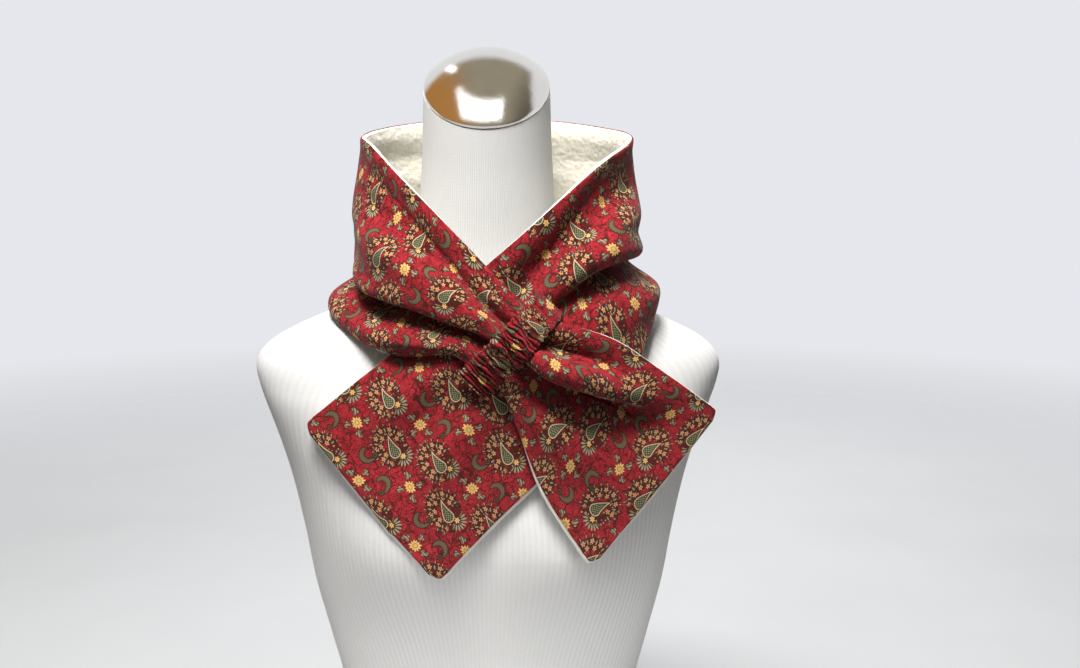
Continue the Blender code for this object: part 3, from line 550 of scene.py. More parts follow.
def row_distances(band):
    """Distances of the cloth's rows along the band, and the rows at which its stretches join."""
    numbers = []
    for i, section in enumerate(SECTIONS[:-1]):
        numbers += [i + k / section.steps for k in range(section.steps)]
    corner = np.array([1 - math.sqrt(0.5), 1]) * CORNER_RADIUS
    distances = np.sort([*band.along(numbers), *corner, *(band.length - corner), band.length])
    joins = np.searchsorted(distances, band.along([RIGHT_JOIN, LEFT_JOIN]) - 1e-6)
    return distances, joins


def grid_faces(rows, columns, shift=0, flip=False):
    start = (np.arange(rows - 1)[:, None] * columns + np.arange(columns - 1)).ravel() + shift
    faces = np.stack([start, start + columns, start + columns + 1, start + 1], axis=1)
    return faces[:, ::-1] if flip else faces


def sheet_tree(points):
    """A search tree over an open grid of points."""
    faces = grid_faces(*points.shape[:2])
    triangles = np.concatenate([faces[:, [0, 1, 2]], faces[:, [0, 2, 3]]])
    return BVHTree.FromPolygons([Vector(p) for p in points.reshape(-1, 3)], triangles.tolist())


def midpoints(grid):
    """The same grid with a point added halfway between each pair of neighbours."""
    rows, columns = grid.shape[:2]
    fine = np.zeros((2 * rows - 1, 2 * columns - 1, 3))
    fine[::2, ::2] = grid
    fine[1::2, ::2] = (grid[:-1] + grid[1:]) / 2
    fine[:, 1::2] = (fine[:, :-2:2] + fine[:, 2::2]) / 2
    return fine


def blurred(grid):
    padded = np.pad(grid, ((1, 1), (1, 1), (0, 0)), mode="edge")
    return sum(padded[i : i + len(grid), j : j + grid.shape[1]] for i in range(3) for j in range(3)) / 9


def larger(one, other):
    """The longer of each pair of vectors."""
    longer = np.linalg.norm(other, axis=-1) > np.linalg.norm(one, axis=-1)
    return np.where(longer[..., None], other, one)


def lifts(back, tree, gap):
    """How far each point of a grid has to move to be clear of the tree's surface."""
    fine = midpoints(back)
    push = np.zeros_like(fine)
    for place in np.ndindex(fine.shape[:2]):
        point = Vector(fine[place])
        under, normal, _, far = tree.find_nearest(point)
        rise = (point - under).dot(normal)
        sideways = math.sqrt(max(far * far - rise * rise, 0.0))
        if rise < gap and sideways < REST_REACH:
            share = 1 - smooth_step((sideways - EDGE_REACH) / (REST_REACH - EDGE_REACH))
            push[place] = np.array(normal) * (gap - rise) * share
    rows, columns = back.shape[:2]
    most = np.zeros_like(back)
    for i in range(-1, 2):
        for j in range(-1, 2):
            row = np.clip(np.arange(rows) * 2 + i, 0, 2 * rows - 2)
            column = np.clip(np.arange(columns) * 2 + j, 0, 2 * columns - 2)
            most = larger(most, push[np.ix_(row, column)])
    return larger(most, blurred(blurred(most)))


def past_edges(grid, reach, shares=(1.0,)):
    """The grid with a row or column more at each edge for every share of the reach past that edge."""
    low = unit(grid[:, :1] - grid[:, 1:2]) * reach[:, None, :1]
    high = unit(grid[:, -1:] - grid[:, -2:-1]) * reach[:, None, 1:]
    before = [grid[:, :1] + low * share for share in shares[::-1]]
    after = [grid[:, -1:] + high * share for share in shares]
    grid = np.concatenate([*before, grid, *after], axis=1)
    first = unit(grid[:1] - grid[1:2]) * HEM_REACH
    last = unit(grid[-1:] - grid[-2:-1]) * HEM_REACH
    before = [grid[:1] + first * share for share in shares[::-1]]
    after = [grid[-1:] + last * share for share in shares]
    return np.concatenate([*before, grid, *after])


def settle(points, reach, first, tree, gap):
    """Lifts the cloth, from its row number first on, until its fleece is clear of what lies under it."""
    for _ in range(SETTLE_ROUNDS):
        back = past_edges(points - grid_normals(points) * (SEAM_GAP + LINING_THICKNESS), reach)
        push = lifts(back[first:], tree, gap)
        if np.abs(push).max() < SETTLED:
            break
        push[:, 1] = larger(push[:, 1], push[:, 0])
        push[:, -2] = larger(push[:, -2], push[:, -1])
        push[1] = larger(push[1], push[0])
        push[-2] = larger(push[-2], push[-1])
        points = points.copy()
        points[first:] += push[1:-1, 1:-1]
    return points


def ring_points(sides, table):
    """Rings of points round the dress form, from the base to the slanted neck, about the neck's axis."""
    angles = np.arange(sides) * 2 * math.pi / sides
    top = RINGS[-1].height * MM
    rings = []
    for height, half_width, front, back, square in table:
        c, s = np.cos(angles), np.sin(angles)
        x = np.sign(c) * np.abs(c) ** (2 / square) * half_width * MM
        y = np.sign(s) * np.abs(s) ** (2 / square) * np.where(s < 0, -front, back) * MM
        level = height * MM
        lobes = np.exp(-(((np.abs(x) - BUST_SIDE) / BUST_WIDTH) ** 2))
        lobes *= np.exp(-(((level - BUST_HEIGHT) / BUST_TALL) ** 2))
        y -= BUST_OUT * lobes * np.clip(-s, 0, 1)
        slant = math.tan(NECK_SLANT) * smooth_step((level - SLANT_START) / (top - SLANT_START))
        rings.append(np.stack([x, y, level + slant * y], axis=1))
    return np.array(rings)


def form_tree():
    """A search tree over the dress form's sides, about the neck's axis."""
    rings = ring_points(COARSE_SIDES, RINGS)
    return sheet_tree(np.concatenate([rings, rings[:, :1]], axis=1)[:, ::-1])


def fine_places(length, step):
    """Places along a length, closer together near its two ends."""
    ends = np.array([0.0, *EDGE_STEPS])
    middle = np.linspace(ends[-1], length - ends[-1], round((length - 2 * ends[-1]) / step) + 1)
    return np.concatenate([ends[:-1], middle, length - ends[-2::-1]])


# The band as a fine grid: its points and their directions out, their places on the flat cloth, how far
# the fleece reaches past each row's ends, how far the shell rises there, and the rows where it is joined
Cloth = namedtuple("Cloth", "points normals distances heights reach rise back_row over_row")


@cache
def fine_cloth(row_step, column_step):
    """The settled band as a fine grid of points, with the place of each point on the flat cloth."""
    band = Band()
    distances, (back_row, over_row) = row_distances(band)
    distance, height = band.grid(distances)
    reach = spline(band.knots, band.reach, distances)
    points = band.folded(band.plain(distance, height), distance, height, FOLDS)
    points = settle(points, reach, 0, form_tree(), REST_GAP)
    under_front = (points + grid_normals(points) * SHELL_THICKNESS)[: back_row + 1]
    points = settle(points, reach, over_row, sheet_tree(under_front), LAYER_GAP)
    rows = fine_places(band.length, row_step)
    columns = fine_places(BAND_WIDTH, column_step) / BAND_WIDTH
    points = spline(distances, points, rows)
    height = spline(distances, height, rows)
    points = np.swapaxes(spline(COLUMNS, np.swapaxes(points, 0, 1), columns), 0, 1)
    height = spline(COLUMNS, height.T, columns).T
    distance = np.repeat(rows[:, None], len(columns), axis=1)
    points = band.folded(points, distance, height, CREASES)
    reach = spline(band.knots, band.reach, rows)
    numbers, shares = zip(*UPPER_REACH, strict=True)
    reach[:, 1] *= np.interp(rows, band.along(numbers), shares)
    numbers, lengths = zip(*NAPE_RISE, strict=True)
    rise = np.interp(rows, band.along(numbers), lengths)
    joins = np.searchsorted(rows, band.along([RIGHT_JOIN, LEFT_JOIN]))
    return Cloth(points, grid_normals(points), distance, height, reach, rise, *joins)


def flat_places(cloth):
    """Where each point lies on the flat cloth, along it and across it, with no stretch across it."""
    steps = np.linalg.norm(np.diff(cloth.points, axis=1), axis=2)
    arc = np.concatenate([np.zeros((len(steps), 1)), np.cumsum(steps, axis=1)], axis=1)
    share = arc / arc[:, -1:]
    low, high = cloth.heights[:, :1], cloth.heights[:, -1:]
    return np.stack([cloth.distances, (low + (high - low) * share) * BAND_WIDTH], axis=2)


def wall_mesh(name, outer, inner, flat=None):
    """A closed wall between two grids of points, with UVs in metres of flat cloth where they are given."""
    rows, columns = outer.shape[:2]
    points = centred(np.concatenate([outer.reshape(-1, 3), inner.reshape(-1, 3)]))
    shift = rows * columns
    corner = np.arange(shift).reshape(rows, columns)
    rim = np.concatenate([corner[:, 0], corner[-1, 1:], corner[-2::-1, -1], corner[0, -2:0:-1]])
    after = np.roll(rim, -1)
    sides = np.stack([after, rim, rim + shift, after + shift], axis=1)
    faces = np.concatenate([grid_faces(rows, columns), grid_faces(rows, columns, shift, True), sides])
    places = None if flat is None else np.concatenate([flat.reshape(-1, 2)] * 2)
    return make_mesh(name, points, faces, places=places)


def tube_faces(rings, sides):
    """Faces between rings of points, one ring after another."""
    here = np.arange(sides)
    after = np.roll(here, -1)
    first = np.stack([here, here + sides, after + sides, after], axis=1)
    return np.concatenate([first + i * sides for i in range(rings - 1)])


def fan_faces(start, sides, middle, down=False):
    """Faces between a ring of points and its middle point, which look up or down."""
    here = np.arange(sides)
    after = np.roll(here, -1)
    edge = (after, here) if down else (here, after)
    return np.stack([start + edge[0], start + edge[1], np.full(sides, middle)], axis=1)


def make_mesh(name, points, *parts, places=None):
    """A smooth mesh from an array of points, and arrays of faces that have equal numbers of corners."""
    mesh = bpy.data.meshes.new(name)
    corners = np.concatenate([part.ravel() for part in parts]).astype(np.int32)
    counts = np.concatenate([np.full(len(part), part.shape[1]) for part in parts])
    mesh.vertices.add(len(points))
    mesh.vertices.foreach_set("co", np.asarray(points, np.float32).ravel())
    mesh.loops.add(len(corners))
    mesh.loops.foreach_set("vertex_index", corners)
    mesh.polygons.add(len(counts))
    mesh.polygons.foreach_set("loop_start", (np.cumsum(counts) - counts).astype(np.int32))
    if places is not None:
        layer = mesh.uv_layers.new(name="cloth")
        layer.data.foreach_set("uv", places[corners].astype(np.float32).ravel())
    mesh.update(calc_edges=True)
    mesh.validate()
    mesh.shade_smooth()
    return mesh


def add_piece(name, mesh, material, slot, *nodes):
    """A piece on the part's one body, which stands for these solids."""
    thing = bpy.data.objects.new(name, mesh)
    bpy.context.scene.collection.objects.link(thing)
    mesh.materials.append(material)
    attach(thing, "root")
    if nodes:
        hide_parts(*nodes)
    return thing


def add_node(tree, kind, inputs=None, **settings):
    """A shader node. Its inputs are given by name or number, each as a constant, a value or a socket."""
    node = tree.nodes.new(f"ShaderNode{kind}")
    for name, setting in settings.items():
        setattr(node, name, setting)
    for label, given in (inputs or {}).items():
        given = given.socket if isinstance(given, Value) else given
        if isinstance(given, bpy.types.NodeSocket):
            tree.links.new(given, node.inputs[label])
        else:
            node.inputs[label].default_value = given
    return node


def math_method(operation):
    """A method that makes one Math node of the value and what it is given."""

    def method(self, *others):
        return self.made(operation, self, *others)

    return method


class Value:
    """A number in a shader's node tree. Plain arithmetic on it makes Math nodes."""

    __add__ = math_method("ADD")
    __sub__ = math_method("SUBTRACT")
    __mul__ = math_method("MULTIPLY")
    __truediv__ = math_method("DIVIDE")
    __abs__ = math_method("ABSOLUTE")
    root = math_method("SQRT")
    sine = math_method("SINE")
    cosine = math_method("COSINE")
    over = math_method("GREATER_THAN")
    lowest = math_method("MINIMUM")
    highest = math_method("MAXIMUM")
    angle_to = math_method("ARCTAN2")

    def __init__(self, tree, socket):
        self.tree = tree
        self.socket = socket

    def __rsub__(self, other):
        return self.made("SUBTRACT", other, self)

    def made(self, operation, *values, clamp=False):
        node = add_node(self.tree, "Math", dict(enumerate(values)), operation=operation, use_clamp=clamp)
        return Value(self.tree, node.outputs[0])

    def ramp(self, scale, shift):
        """This value scaled and shifted, and held between 0 and 1."""
        return self.made("MULTIPLY_ADD", self, scale, shift, clamp=True)

    def inside(self, soft=0.14):
        """1 where this distance is below zero and 0 outside, with a soft edge."""
        return self.ramp(-0.5 / soft, 0.5)

    def folded(self, period):
        """The distance to the nearest multiple of the period."""
        return self.made("FLOORED_MODULO", self + period / 2, period) - period / 2

    def towards(self, other, share):
        """Between this value and the other one."""
        return self + (other - self) * share

    def spread(self, low, high):
        """This value, which runs from 0 to 1, spread between two numbers."""
        return self * (high - low) + low


def length_of(x, y):
    return (x * x + y * y).root()


def split(tree, vector):
    """The three numbers of a vector."""
    node = add_node(tree, "SeparateXYZ", {0: vector})
    return [Value(tree, socket) for socket in node.outputs]


def object_place(tree):
    return add_node(tree, "TexCoord").outputs["Object"]


def blend_colours(tree, share, low, high, blend="MIX"):
    """A colour between two, each given as a colour or a socket."""
    # Of this node's sockets, 0 is the share and 6 and 7 are the colours, and 2 is the colour put out
    low, high = ((*colour, 1.0) if isinstance(colour, tuple) else colour for colour in (low, high))
    return add_node(tree, "Mix", {0: share, 6: low, 7: high}, data_type="RGBA", blend_type=blend).outputs[2]


def new_group(name, inputs, outputs):
    """A shader node group with named inputs and outputs, each a pair of its name and its socket's kind."""
    tree = bpy.data.node_groups.new(name, "ShaderNodeTree")
    for direction, sockets in (("INPUT", inputs), ("OUTPUT", outputs)):
        for label, kind in sockets:
            tree.interface.new_socket(name=label, in_out=direction, socket_type=f"NodeSocket{kind}")
    return tree, tree.nodes.new("NodeGroupInput"), tree.nodes.new("NodeGroupOutput")


def noise_value(tree, vector, scale, detail=2.0, roughness=0.5, distortion=0.0):
    inputs = {"Scale": scale, "Detail": detail, "Roughness": roughness, "Distortion": distortion}
    return Value(tree, add_node(tree, "TexNoise", {"Vector": vector, **inputs}).outputs["Fac"])


def motif_place(x, y, places):
    """Coordinates about the nearest of a motif's places in the repeat, turned as it is there."""
    first, second = places
    ax, ay = (x - first.x).folded(REPEAT), (y - first.y).folded(REPEAT)
    bx, by = (x - second.x).folded(REPEAT), (y - second.y).folded(REPEAT)
    second_is_nearer = (ax * ax + ay * ay).over(bx * bx + by * by)
    px, py = ax.towards(bx, second_is_nearer), ay.towards(by, second_is_nearer)
    turn = (second_is_nearer * math.radians(second.turn - first.turn)) + math.radians(first.turn)
    side = second_is_nearer * float(second.side - first.side) + float(first.side)
    c, s = turn.cosine(), turn.sine()
    return (px * c + py * s) * side, py * c - px * s


class Drawing:
    """The print as it is drawn: each ink is laid over the colour so far, where a shape is 1. Its specks are
    how far each place is from the nearest speck's middle, and a number of that speck's own."""

    def __init__(self, tree, inks, specks, colour):
        self.tree = tree
        self.inks = inks
        self.specks = specks
        self.colour = colour

    def lay(self, ink, shape):
        self.colour = blend_colours(self.tree, shape, self.colour, self.inks[ink])


def draw_florets(lay, out, beside, shown):
    """Small five-petalled florets, each where both distances are near zero."""
    lobes = (out.angle_to(beside) * 5.0).cosine() * 0.5
    floret = length_of(out, beside) - lobes - 1.55
    lay("Outline", (floret - 0.55).inside() * shown * 0.9)
    lay("Peach", floret.inside(0.25) * shown)
    lay("Ground shade", (floret + 1.25).inside(0.2) * shown)


def draw_rings(lay, x, y, dot, kind):
    """A paisley's rings of leaves and florets, on a ragged dark band."""
    ring_x, ring_y = x / 10.4, (y - 0.8) / 13.6
    out = (length_of(ring_x, ring_y) - 1.0) * 12.0
    around = ring_x.angle_to(ring_y)
    shown = ((around - 2.7).cosine() - 0.5).inside(0.1)
    ragged = (abs(out + 1.2) - 5.6 + dot * 2.0).inside(0.5)
    lay("Outline", ragged * 0.8)
    lay("Petal", (dot - 0.28).inside(0.08) * ragged * kind.over(0.45) * 0.9)
    lay("Peach", (dot - 0.30).inside(0.08) * ragged * kind.over(0.75))
    for row, count, size, phase in ((4.4, 19, 1.9, 0.0), (0.2, 10, 2.5, 0.315)):
        leaf_x, leaf_y = out - row, (around + phase).folded(2 * math.pi / count) * (12.0 + row)
        for ink, long, wide, soft in (("Outline", 1.0, 0.5, 0.2), ("Petal", 0.62, 0.22, 0.3)):
            leaf = length_of(leaf_x / (size * long), leaf_y / (size * wide)) - 1.0
            lay(ink, leaf.inside(soft) * shown)
    draw_florets(lay, out - 0.6, around.folded(2 * math.pi / 10) * 12.4, shown)
    draw_florets(lay, out + 3.6, (around + 0.3).folded(2 * math.pi / 8) * 8.8, shown)


def draw_fan(lay, x, y, dot):
    """A paisley's fan of petals, with a flower at its heart."""
    out = length_of(x, y)
    around = x.angle_to(y)
    side = ((around - 2.78).cosine() * -1.0 + 0.02).inside(0.1)
    petal = length_of((out - 5.4) / 2.3, around.folded(2 * math.pi / 16) * 5.4 / 0.62) - 1.0
    lay("Outline", (out - 8.0 + dot * 2.0).inside(0.3) * side * 0.85)
    lay("Petal", petal.inside(0.25) * side)
    heart = out - (around * 6.0).cosine() * 0.5 - 1.9
    lay("Outline", (heart - 0.4).inside())
    lay("Yellow", heart.inside())
    lay("Peach", (out - 0.8).inside(0.2))


def draw_paisley(drawing, x, y):
    """A paisley with its rings of florets and leaves and its fan of petals."""
    lay = drawing.lay
    dot, kind = drawing.specks
    draw_rings(lay, x, y, dot, kind)
    draw_fan(lay, x - 3.8, y + 10.6, dot)
    raised = y + 4.6
    above = raised.highest(0.0)
    bent = abs(x - above * above * 0.015)
    low_end = length_of(bent, raised) - 4.5
    flank = bent * 0.9516 + raised * 0.3072 - 4.5
    drop = low_end.towards(flank, (raised * 0.9516 - bent * 0.3072).over(0.0))
    beads = (raised * 3.1).sine() * (bent * 2.4).cosine()
    dots = (x * 2.9).sine() * (y * 2.9).sine()
    lay("Outline", (drop - 0.75).inside())
    lay("Cream", drop.inside() * (beads * 0.22 + 0.74))
    lay("Outline", (drop + 0.85).inside())
    lay("Green", (drop + 1.25).inside())
    lay("Outline", (drop + 1.3).inside() * (dots + 0.3).inside(0.2) * 0.7)
    lay("Petal", (drop + 1.5).inside() * (dots - 0.3).over(0.0) * 0.75)


def draw_flower(drawing, x, y):
    """A yellow flower with four buds round it."""
    lay = drawing.lay
    out = length_of(x * 1.1, y * 0.9)
    around = x.angle_to(y)
    bud_x, bud_y = out - 8.3, (around - 0.5).folded(math.pi / 2) * 8.4
    lobes = (bud_x.angle_to(bud_y) * 3.0).cosine() * 0.75
    bud = length_of(bud_x * 0.8, bud_y) - lobes - 2.0
    lay("Outline", (bud - 0.65).inside(0.2))
    lay("Petal", ((bud_y * 3.2).cosine() * 0.4 + 0.6) * bud.inside(0.2))
    spread = (around * 11.0).cosine() * 0.75 + (around * 4.0 + 1.0).cosine() * 0.35
    flower = out - spread - 3.9
    rays = ((around * 11.0).cosine() * -1.0 - 0.45).inside(0.3)
    lay("Outline", (flower - 0.5).inside(0.25) * 0.75)
    lay("Yellow", flower.inside())
    lay("Peach", (1.0 - rays) * flower.inside() * 0.55)
    lay("Olive", (abs(out - 1.7) - 0.35).inside(0.25) * 0.75)
    lay("Peach", (out - 0.9).inside(0.3) * 0.3)


def draw_curled_leaf(drawing, x, y):
    """A curled, toothed leaf."""
    x, y = x / 1.12, y / 1.12
    around = x.angle_to(y)
    taper = (1.0 - (around * around) / 3.5).highest(0.0).root()
    teeth = (around * 20.0).cosine() * 0.3
    leaf = abs(length_of(x, y * 0.9) - (around * 0.5) - 4.8) - taper * 2.0 - teeth + 0.35
    curl = abs(length_of(x - 4.2, y + 2.6) - 1.2) - 0.4
    shape = leaf.lowest(curl)
    drawing.lay("Outline", (shape - 0.55).inside())
    drawing.lay("Olive", (shape + 0.15).inside(0.3) * 0.9)


def print_group():
    """Printed paisleys, flowers and curled leaves on a mottled ground."""
    inputs = [("Flat cloth", "Vector"), *((ink, "Color") for ink in INKS)]
    tree, given, result = new_group("Paisley print", inputs, [("Color", "Color")])
    inks = {name: given.outputs[name] for name in INKS}
    flat = add_node(
        tree, "VectorMath", {0: given.outputs["Flat cloth"], "Scale": 1 / MM}, operation="SCALE"
    ).outputs[0]
    mottle = noise_value(tree, flat, 0.16, detail=4.0, roughness=0.65)
    ground = blend_colours(tree, (mottle - 0.36) * 2.4, inks["Ground"], inks["Ground shade"])
    cells = add_node(tree, "TexVoronoi", {"Vector": flat, "Scale": 0.42})
    kinds = add_node(tree, "SeparateColor", {0: cells.outputs["Color"]})
    specks = Value(tree, cells.outputs["Distance"]), Value(tree, kinds.outputs[0])
    drawing = Drawing(tree, inks, specks, ground)
    scroll = noise_value(tree, flat, 0.10, detail=1.5, distortion=1.6)
    curve = add_node(tree, "TexNoise", {"Vector": flat, "Scale": 0.13, "Detail": 1.0}).outputs["Color"]
    bend = add_node(tree, "VectorMath", {0: curve, 1: (14.0, 14.0, 0.0), 2: flat}, operation="MULTIPLY_ADD")
    vines = add_node(
        tree, "TexVoronoi", {"Vector": bend.outputs[0], "Scale": 0.10}, feature="DISTANCE_TO_EDGE"
    )
    vine = (Value(tree, vines.outputs["Distance"]) - 0.034).inside(0.022)
    drawing.lay("Outline", (abs(scroll.folded(0.13)) - 0.014).inside(0.008).highest(vine) * 0.9)
    x, y, _ = split(tree, flat)
    motifs = ((draw_paisley, PAISLEYS), (draw_curled_leaf, CURLED_LEAVES), (draw_flower, FLOWERS))
    for draw, places in motifs:
        draw(drawing, *motif_place(x, y, places))
    tree.links.new(drawing.colour, result.inputs["Color"])
    return tree


def thread_group():
    """Crossing threads: their height, and a shade that varies with the yarn's slubs and is painted darker in
    the low gaps between the threads.
    """
    inputs = [("Flat cloth", "Vector"), ("Spacing", "Float")]
    outputs = [("Height", "Float"), ("Shade", "Float")]
    tree, given, result = new_group("Crossing threads", inputs, outputs)
    flat, spacing = given.outputs["Flat cloth"], Value(tree, given.outputs["Spacing"])
    x, y = (part / spacing * math.pi for part in split(tree, flat)[:2])
    warp = abs(x.sine()) * (y.cosine() * 0.3 + 0.7)
    weft = abs(y.sine()) * (x.cosine() * -0.3 + 0.7)
    height = warp.highest(weft)
    slubs = noise_value(tree, flat, 900.0, detail=3.0)
    tree.links.new((height * 0.75 + slubs * 0.5).socket, result.inputs["Height"])
    # The shade is half the slubs' own tone and half painted shade, which is darker where the threads lie
    # low.
    tree.links.new((slubs * 0.5 + height * 0.5).socket, result.inputs["Shade"])
    return tree


def shared_group(build, name):
    """The node group of this name, which is built the first time it is asked for."""
    return bpy.data.node_groups.get(name) or build()


def new_material(name, inputs):
    """A material, its node tree and its shader, whose own inputs have these constants."""
    material = bpy.data.materials.new(name)
    material.use_nodes = True
    shader = material.node_tree.nodes["Principled BSDF"]
    for label, value in inputs.items():
        shader.inputs[label].default_value = value
    return material, material.node_tree, shader


def varied(tree, share, colour, shares):
    """A colour that varies from these shares of its red, green and blue up to the whole of it."""
    light = tuple(colour)
    dark = tuple(c * s for c, s in zip(light, shares, strict=True))
    return blend_colours(tree, share, dark, light)


def finish_surface(tree, shader, colour, roughness, height, distance, strength=1.0):
    """Feeds the shader a colour and a roughness that vary, and bumps."""
    bump = add_node(tree, "Bump", {"Height": height, "Distance": distance, "Strength": strength})
    tree.links.new(colour, shader.inputs["Base Color"])
    tree.links.new(roughness.socket, shader.inputs["Roughness"])
    tree.links.new(bump.outputs["Normal"], shader.inputs["Normal"])


def printed_cotton(settings, name):
    material, tree, shader = new_material(name, {
        "Sheen Weight": 0.05, "Sheen Roughness": 0.45, "Specular IOR Level": 0.28,
    })
    flat = add_node(tree, "UVMap", uv_map="cloth").outputs["UV"]
    inks = {ink: (*getattr(settings, ink.lower().replace(" ", "_")), 1.0) for ink in INKS}
    group = shared_group(print_group, "Paisley print")
    motifs = add_node(tree, "Group", {"Flat cloth": flat, **inks}, node_tree=group)
    group = shared_group(thread_group, "Crossing threads")
    inputs = {"Flat cloth": flat, "Spacing": THREAD_SPACING}
    threads = add_node(tree, "Group", inputs, node_tree=group)
    shade = Value(tree, threads.outputs["Shade"])
    # Painted shade: the print is darkened by the threads' shade, most in the gaps between the threads, and
    # varied by the slubs.
    grey = add_node(tree, "CombineColor", {channel: shade for channel in range(3)})
    colour = blend_colours(tree, 0.22, motifs.outputs["Color"], grey.outputs[0], "MULTIPLY")
    finish_surface(tree, shader, colour, shade.spread(0.90, 0.72), threads.outputs["Height"], 0.00012)
    return material


def boa_fleece(settings):
    material, tree, shader = new_material("boa_fleece", {
        "Subsurface Weight": 0.7, "Subsurface Radius": (1.0, 0.95, 0.85), "Subsurface Scale": 0.006,
        "Sheen Weight": 0.35, "Sheen Roughness": 0.5, "Specular IOR Level": 0.15,
    })
    place = object_place(tree)
    patches = noise_value(tree, place, 130.0, detail=3.0, roughness=0.6)
    fibres = noise_value(tree, place, 2600.0, detail=4.0, roughness=0.7, distortion=1.5)
    colour = varied(tree, patches * 0.75 + fibres * 0.25, settings.fleece, (0.84, 0.82, 0.76))
    tufts = add_node(
        tree, "TexVoronoi", {"Vector": place, "Scale": 260.0, "Smoothness": 0.6}, feature="SMOOTH_F1"
    )
    curls = noise_value(tree, place, 620.0, detail=2.0, roughness=0.55, distortion=1.2)
    height = (1.0 - Value(tree, tufts.outputs["Distance"])) * 0.6 + curls * 0.35 + fibres * 0.12
    finish_surface(tree, shader, colour, fibres.spread(0.86, 1.0), height, 0.0014)
    return material


def rib_knit(settings):
    material, tree, shader = new_material("white_rib_jersey", {
        "Sheen Weight": 0.12, "Specular IOR Level": 0.25,
    })
    place = object_place(tree)
    x, y, z = split(tree, place)
    ribs = (x.angle_to(y - NECK_BACK) * RIBS_ROUND).sine() * 0.5 + 0.5
    loops = (z * (2 * math.pi / KNIT_STEP) + ribs * 1.2).sine() * 0.5 + 0.5
    fuzz = noise_value(tree, place, 420.0, detail=4.0, roughness=0.65)
    # Painted shade: the white is darker in the grooves between the ribs, and the fuzz adds a random tone.
    colour = varied(tree, ribs * 0.5 + fuzz * 0.5, settings.jersey, (0.90, 0.90, 0.90))
    height = ribs * 0.7 + loops * 0.2 + fuzz * 0.3
    finish_surface(tree, shader, colour, fuzz.spread(0.78, 0.95), height, 0.00030, 0.8)
    return material


def polished_chrome(settings):
    material, tree, shader = new_material("polished_chrome", {"Metallic": 1.0})
    place = object_place(tree)
    smudges = noise_value(tree, place, 45.0, detail=5.0, roughness=0.6)
    scuffs = noise_value(tree, place, 700.0, detail=3.0, roughness=0.7, distortion=2.0)
    colour = varied(tree, smudges, settings.chrome, (0.84, 0.84, 0.84))
    roughness = smudges * 0.10 + scuffs * 0.06 + 0.03
    finish_surface(tree, shader, colour, roughness, smudges * 0.8 + scuffs * 0.1, 0.0006, 0.5)
    return material


def edge_rounding(cloth):
    """How thick the shell is at each point, as a share: its turned edges are rounded."""
    rows, columns = cloth.distances.shape
    flat = flat_places(cloth)
    low = flat[..., 1] - flat[:, :1, 1]
    high = flat[:, -1:, 1] - flat[..., 1]
    hem = np.minimum(flat[..., 0], flat[-1:, :, 0] - flat[..., 0])
    edge = np.minimum(np.minimum(low, high), hem)
    near = np.clip(edge / EDGE_ROUNDING, 0, 1)
    return np.maximum(np.sqrt(1 - (1 - near) ** 2), SHELL_EDGE)


def shell_front(cloth):
    return cloth.points + cloth.normals * (SHELL_THICKNESS * edge_rounding(cloth))[..., None]


def shell_faces(cloth):
    """The shell's outer and inner faces, with its upper edge a little higher behind the neck."""
    front, back = shell_front(cloth), cloth.points.copy()
    rise = unit(cloth.points[:, -1] - cloth.points[:, -2]) * cloth.rise[:, None]
    front[:, -1] += rise
    back[:, -1] += rise
    return front, back


def rim_thickness(turns, rows, columns):
    """The fleece's thickness as a share, which rounds off towards its rim."""
    rounded = np.maximum(np.cos(turns), FLEECE_EDGE)
    along, across = (
        np.concatenate([rounded[::-1], np.ones(count - 2 * RIM_STEPS), rounded]) for count in (rows, columns)
    )
    return np.minimum(along[:, None], across[None, :])


def lump_depths(points, size):
    """How far the pile dips at each point between its lumps, from 0 on a lump to 1 between lumps."""
    flat = points.reshape(-1, 3) / size
    depths = [min(noise.voronoi(Vector(p))[0][0], 1.0) for p in flat]
    return np.array(depths).reshape(points.shape[:2])


def fleece_faces(cloth, settings):
    """The fleece's face under the shell and its lumpy inner face, with a rounded rim."""
    middle = cloth.points - cloth.normals * (SEAM_GAP + LINING_THICKNESS / 2)
    turns = np.linspace(0, math.pi / 2, RIM_STEPS + 1)[1:]
    grid = past_edges(middle, cloth.reach, np.sin(turns))
    normals = np.pad(cloth.normals, ((RIM_STEPS,) * 2, (RIM_STEPS,) * 2, (0, 0)), mode="edge")
    half = rim_thickness(turns, *grid.shape[:2]) * LINING_THICKNESS / 2
    lumps = lump_depths(grid, settings.tuft_size) * settings.pile_depth
    face = grid + normals * half[..., None]
    back = grid - normals * (half - np.minimum(lumps, half * DEEPEST_DIP))[..., None]
    return face, back


def upper_hull(across, height):
    """The taut line over a profile, as a stretched elastic lies on it."""
    keep = []
    for point in zip(across, height, strict=True):
        while len(keep) > 1:
            (ax, ay), (bx, by) = keep[-2], keep[-1]
            if (bx - ax) * (point[1] - ay) - (by - ay) * (point[0] - ax) >= 0:
                keep.pop()
            else:
                break
        keep.append(point)
    return np.interp(across, *zip(*keep, strict=True))


def front_of(trees, x, z):
    """The foremost surface at a place seen from the front."""
    found = 0.0
    for tree in trees:
        place = tree.ray_cast(Vector((x, IN_FRONT, z)), Vector((0, 1, 0)))[0]
        if place is not None:
            found = min(found, place.y)
    return found


def gather_places():
    """The loop's rows: the number of gathers passed at each, and its share of the loop's length."""
    starts = [zone.start for zone in GATHERS] + [1.0]
    turns = np.cumsum([0] + [zone.count for zone in GATHERS])
    phase = np.array([k + step for k in range(turns[-1]) for step in GATHER_STEPS] + [turns[-1]])
    return phase, np.interp(phase, turns, starts)


def gather_depth(share):
    middles = [(zone.start + zone.end) / 2 for zone in GATHERS]
    return np.interp(share, middles, [zone.depth for zone in GATHERS])


